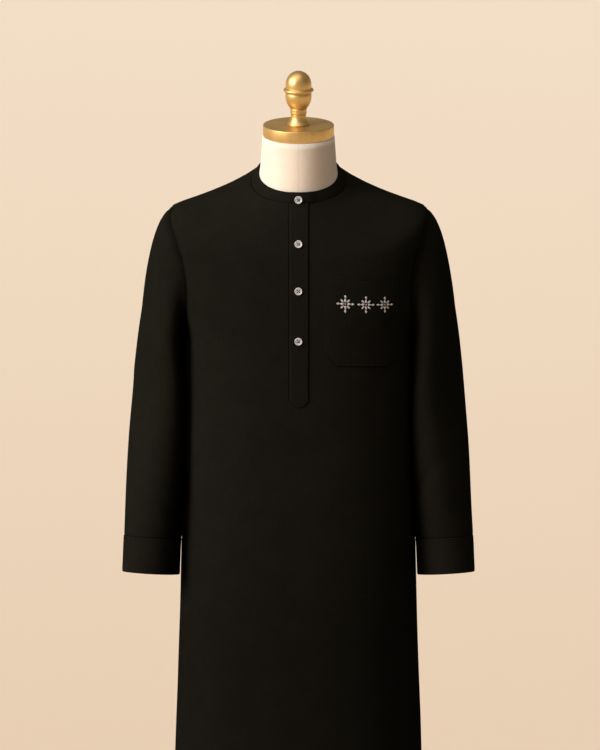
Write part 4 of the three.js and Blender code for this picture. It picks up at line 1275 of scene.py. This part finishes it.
def canvas_finish():
    """Cream cotton canvas: a fine even weave, faint yellowing, and the seam down the middle."""
    canvas = Finish("cream_canvas")
    place = canvas.place()
    pitch = math.pi / 0.0007
    across, up = canvas.part(place, "X"), canvas.part(place, "Z")
    weave = (across * pitch).sine() * (up * pitch).sine() * 0.5 + 0.5
    fine = canvas.noise(canvas.stretched(place, (900, 900, 120)), 1.0, 2.0)
    broad = canvas.noise(place, 14.0, 3.0)
    seam = 1 - across.size().between(0.0002, 0.0011)
    stain = broad.between(0.3, 0.7) * 0.6 + fine * 0.3
    cream = canvas.mixed(stain, (0.93, 0.77, 0.66, 1), (0.90, 0.71, 0.57, 1))
    lined = canvas.mixed(seam * 0.18, cream, (0.50, 0.42, 0.30, 1))
    return canvas.surface({
        "Base Color": lined,
        "Roughness": 0.78 + fine * 0.12,
        "Specular IOR Level": 0.25,
        "Subsurface Weight": 0.6,
        "Subsurface Radius": (1.0, 0.6, 0.35),
        "Subsurface Scale": 0.04,
        "Normal": canvas.bump(weave * 0.4 + fine * 0.4 - seam, 0.00012, 0.8),
    })


def form_rings():
    angles = 360 * np.arange(FORM_SIDES + 1) / FORM_SIDES
    rings = []
    for z, half, ahead, behind in TORSO:
        level = SimpleNamespace(side=z, front=z, back=z, half=half, ahead=ahead, behind=behind,
                                square=TORSO_SQUARE, roll=1.0)
        rings.append(ring_point(level, angles))
    for height in (row[0] for row in BODY if row[0] >= SHOULDERS_START):
        inset = FORM_INSET if height < SHOULDER_TIP else SHOULDER_INSET
        ring = body_point(np.full(angles.shape, height), angles, -inset)
        ring[:, 0] = np.clip(ring[:, 0], -ARM_PLATE, ARM_PLATE)
        rings.append(ring)
    turn = np.radians(angles)
    neck_top = np.stack((
        NECK.radius * np.sin(turn), NECK.y - NECK.radius * np.cos(turn), np.full(angles.shape, NECK.top)
    ), axis=-1)
    neck_foot = band_point(np.ones(angles.shape), angles, -NECK_INSET)
    rings.append(band_point(np.full(angles.shape, 0.5), angles, -COLLAR_INSET))
    for share in (0, 0.25, 0.5, 0.75, 1):
        rings.append(neck_foot + (neck_top - neck_foot) * share)
    return np.array(rings)


def dress_form():
    rings = form_rings()
    rows = len(rings) - 1
    shape = bmesh.new()
    bmesh.ops.create_grid(shape, x_segments=FORM_SIDES, y_segments=rows, size=1)
    for vert in shape.verts:
        vert.co = rings[grid_place(vert, rows, FORM_SIDES)]
    bmesh.ops.remove_doubles(shape, verts=shape.verts, dist=1e-5)
    crease = shape.edges.layers.float.new("crease_edge")
    rims = [edge for edge in shape.edges if edge.is_boundary]
    for edge in rims:
        edge[crease] = 1.0
    bmesh.ops.holes_fill(shape, edges=rims, sides=0)
    bmesh.ops.recalc_face_normals(shape, faces=shape.faces)
    piece = finished("canvas_form", shape, canvas_finish(), "form_body")
    finer = piece.modifiers.new("smooth", "SUBSURF")
    finer.levels = finer.render_levels = 1


dress_form()


# ---- Cap, knob and stand ----
# Turned brass, brushed to a satin on the lathe: the round cap on the neck, the knob by which the form is
# lifted, the pole up into the torso, and the weighted round foot that stands on the floor.
CAP = SimpleNamespace(radius=0.0592, height=0.0196, round=0.0014)
KNOB_FOOT, KNOB_TOP = 1.5672, 1.6584
POLE = SimpleNamespace(radius=0.014, foot=0.0483, top=0.8297)
BASE = SimpleNamespace(radius=0.172, rim=0.009, height=0.026, collar=0.024, top=0.048)


def brass_finish():
    """Satin brass: fine lathe lines, soft unevenness, and a darker tone where hands don't rub it."""
    brass = Finish("satin_brass")
    place = brass.place()
    lines = brass.noise(brass.stretched(place, (30, 30, 5200)), 1.0, 2.0)
    cloudy = brass.noise(place, 60.0, 4.0, 0.6)
    specks = brass.noise(place, 1400.0, 1.0).between(0.62, 0.75)
    gold = brass.mixed(cloudy.between(0.3, 0.7), (0.74, 0.51, 0.215, 1), (0.66, 0.435, 0.155, 1))
    dulled = brass.mixed(specks * 0.25, gold, (0.34, 0.21, 0.08, 1))
    return brass.surface({
        "Base Color": dulled,
        "Metallic": 1.0,
        "Roughness": 0.38 + cloudy * 0.1 + lines * 0.06,
        "Normal": brass.bump(lines, 0.00004, 0.5),
    })


satin_brass = brass_finish()


def arc(middle, radius, start, end, steps):
    """Points of a profile on an arc, by degrees from straight out and up."""
    turns = [math.radians(start + (end - start) * k / steps) for k in range(steps + 1)]
    return [(middle[0] + radius[0] * math.cos(t), middle[1] + radius[1] * math.sin(t)) for t in turns]


def turned_brass(name, node, profile, middle, edge_round):
    """A piece turned from (radius, height) pairs that start and end on the axis, its edges rounded."""
    shape = bmesh.new()
    turn_outline(shape, profile, 96, 1e-6)
    sharp = [edge for edge in shape.edges if edge.is_manifold and edge.calc_face_angle() > math.radians(24)]
    bmesh.ops.bevel(shape, geom=sharp, offset=edge_round, offset_type="OFFSET", affect="EDGES", segments=3,
                    profile=0.5, material=-1, clamp_overlap=True)
    bmesh.ops.translate(shape, verts=shape.verts, vec=(0, middle, 0))
    finished(name, shape, satin_brass, node)


def straight_profile(radius, foot, top):
    return [(0, foot), (radius, foot), (radius, top), (0, top)]


cap_foot = NECK.top + SEAM
cap_profile = straight_profile(CAP.radius, cap_foot, cap_foot + CAP.height)
turned_brass("brass_cap", "neck_cap", cap_profile, NECK.y, CAP.round)


def knob_profile():
    """The knob's outline: a bell skirt, a stem with a double ring, a bowl, a bead and a dome."""
    outline = [
        (0, 0), (0.0186, 0), (0.0188, 0.0012), (0.0175, 0.0028), (0.0156, 0.0056), (0.0142, 0.0084),
        (0.0131, 0.0114), (0.0127, 0.0144), (0.0127, 0.0172), (0.0130, 0.0188), (0.0137, 0.0194),
        (0.0139, 0.0212), (0.0134, 0.0228), (0.0134, 0.0234), (0.0139, 0.0250), (0.0137, 0.0268),
        (0.0132, 0.0276), (0.0146, 0.0290), (0.0172, 0.0324), (0.0200, 0.0376), (0.0214, 0.0430),
        (0.0219, 0.0480), (0.0218, 0.0518), (0.0213, 0.0534), (0.0206, 0.0538), (0.0206, 0.0546),
        (0.0216, 0.0552),
    ]
    outline += arc((0.0223, 0.0587), (0.0029, 0.0029), -68, 68, 8)
    outline += [(0.0214, 0.0624)]
    middle, top = 0.0680, KNOB_TOP - KNOB_FOOT
    outline += arc((0.0, middle), (0.0217, top - middle), -8, 90, 14)[:-1] + [(0.0, top)]
    return [(radius, KNOB_FOOT + height) for radius, height in outline]


turned_brass("brass_knob", "finial", knob_profile(), NECK.y, 0.0003)
turned_brass("brass_pole", "stand_pole", straight_profile(POLE.radius, POLE.foot, POLE.top), 0, 0.001)
turned_brass("brass_foot", "stand_base", [
    (0, 0), (BASE.radius - 0.004, 0), (BASE.radius, 0.003), (BASE.radius, BASE.rim),
    (BASE.radius - 0.005, BASE.rim + 0.003), (BASE.radius * 0.6, BASE.height - 0.006),
    (BASE.collar + 0.012, BASE.height), (BASE.collar, BASE.height + 0.004), (BASE.collar - 0.002, BASE.top),
    (0, BASE.top),
], 0, 0.0012)
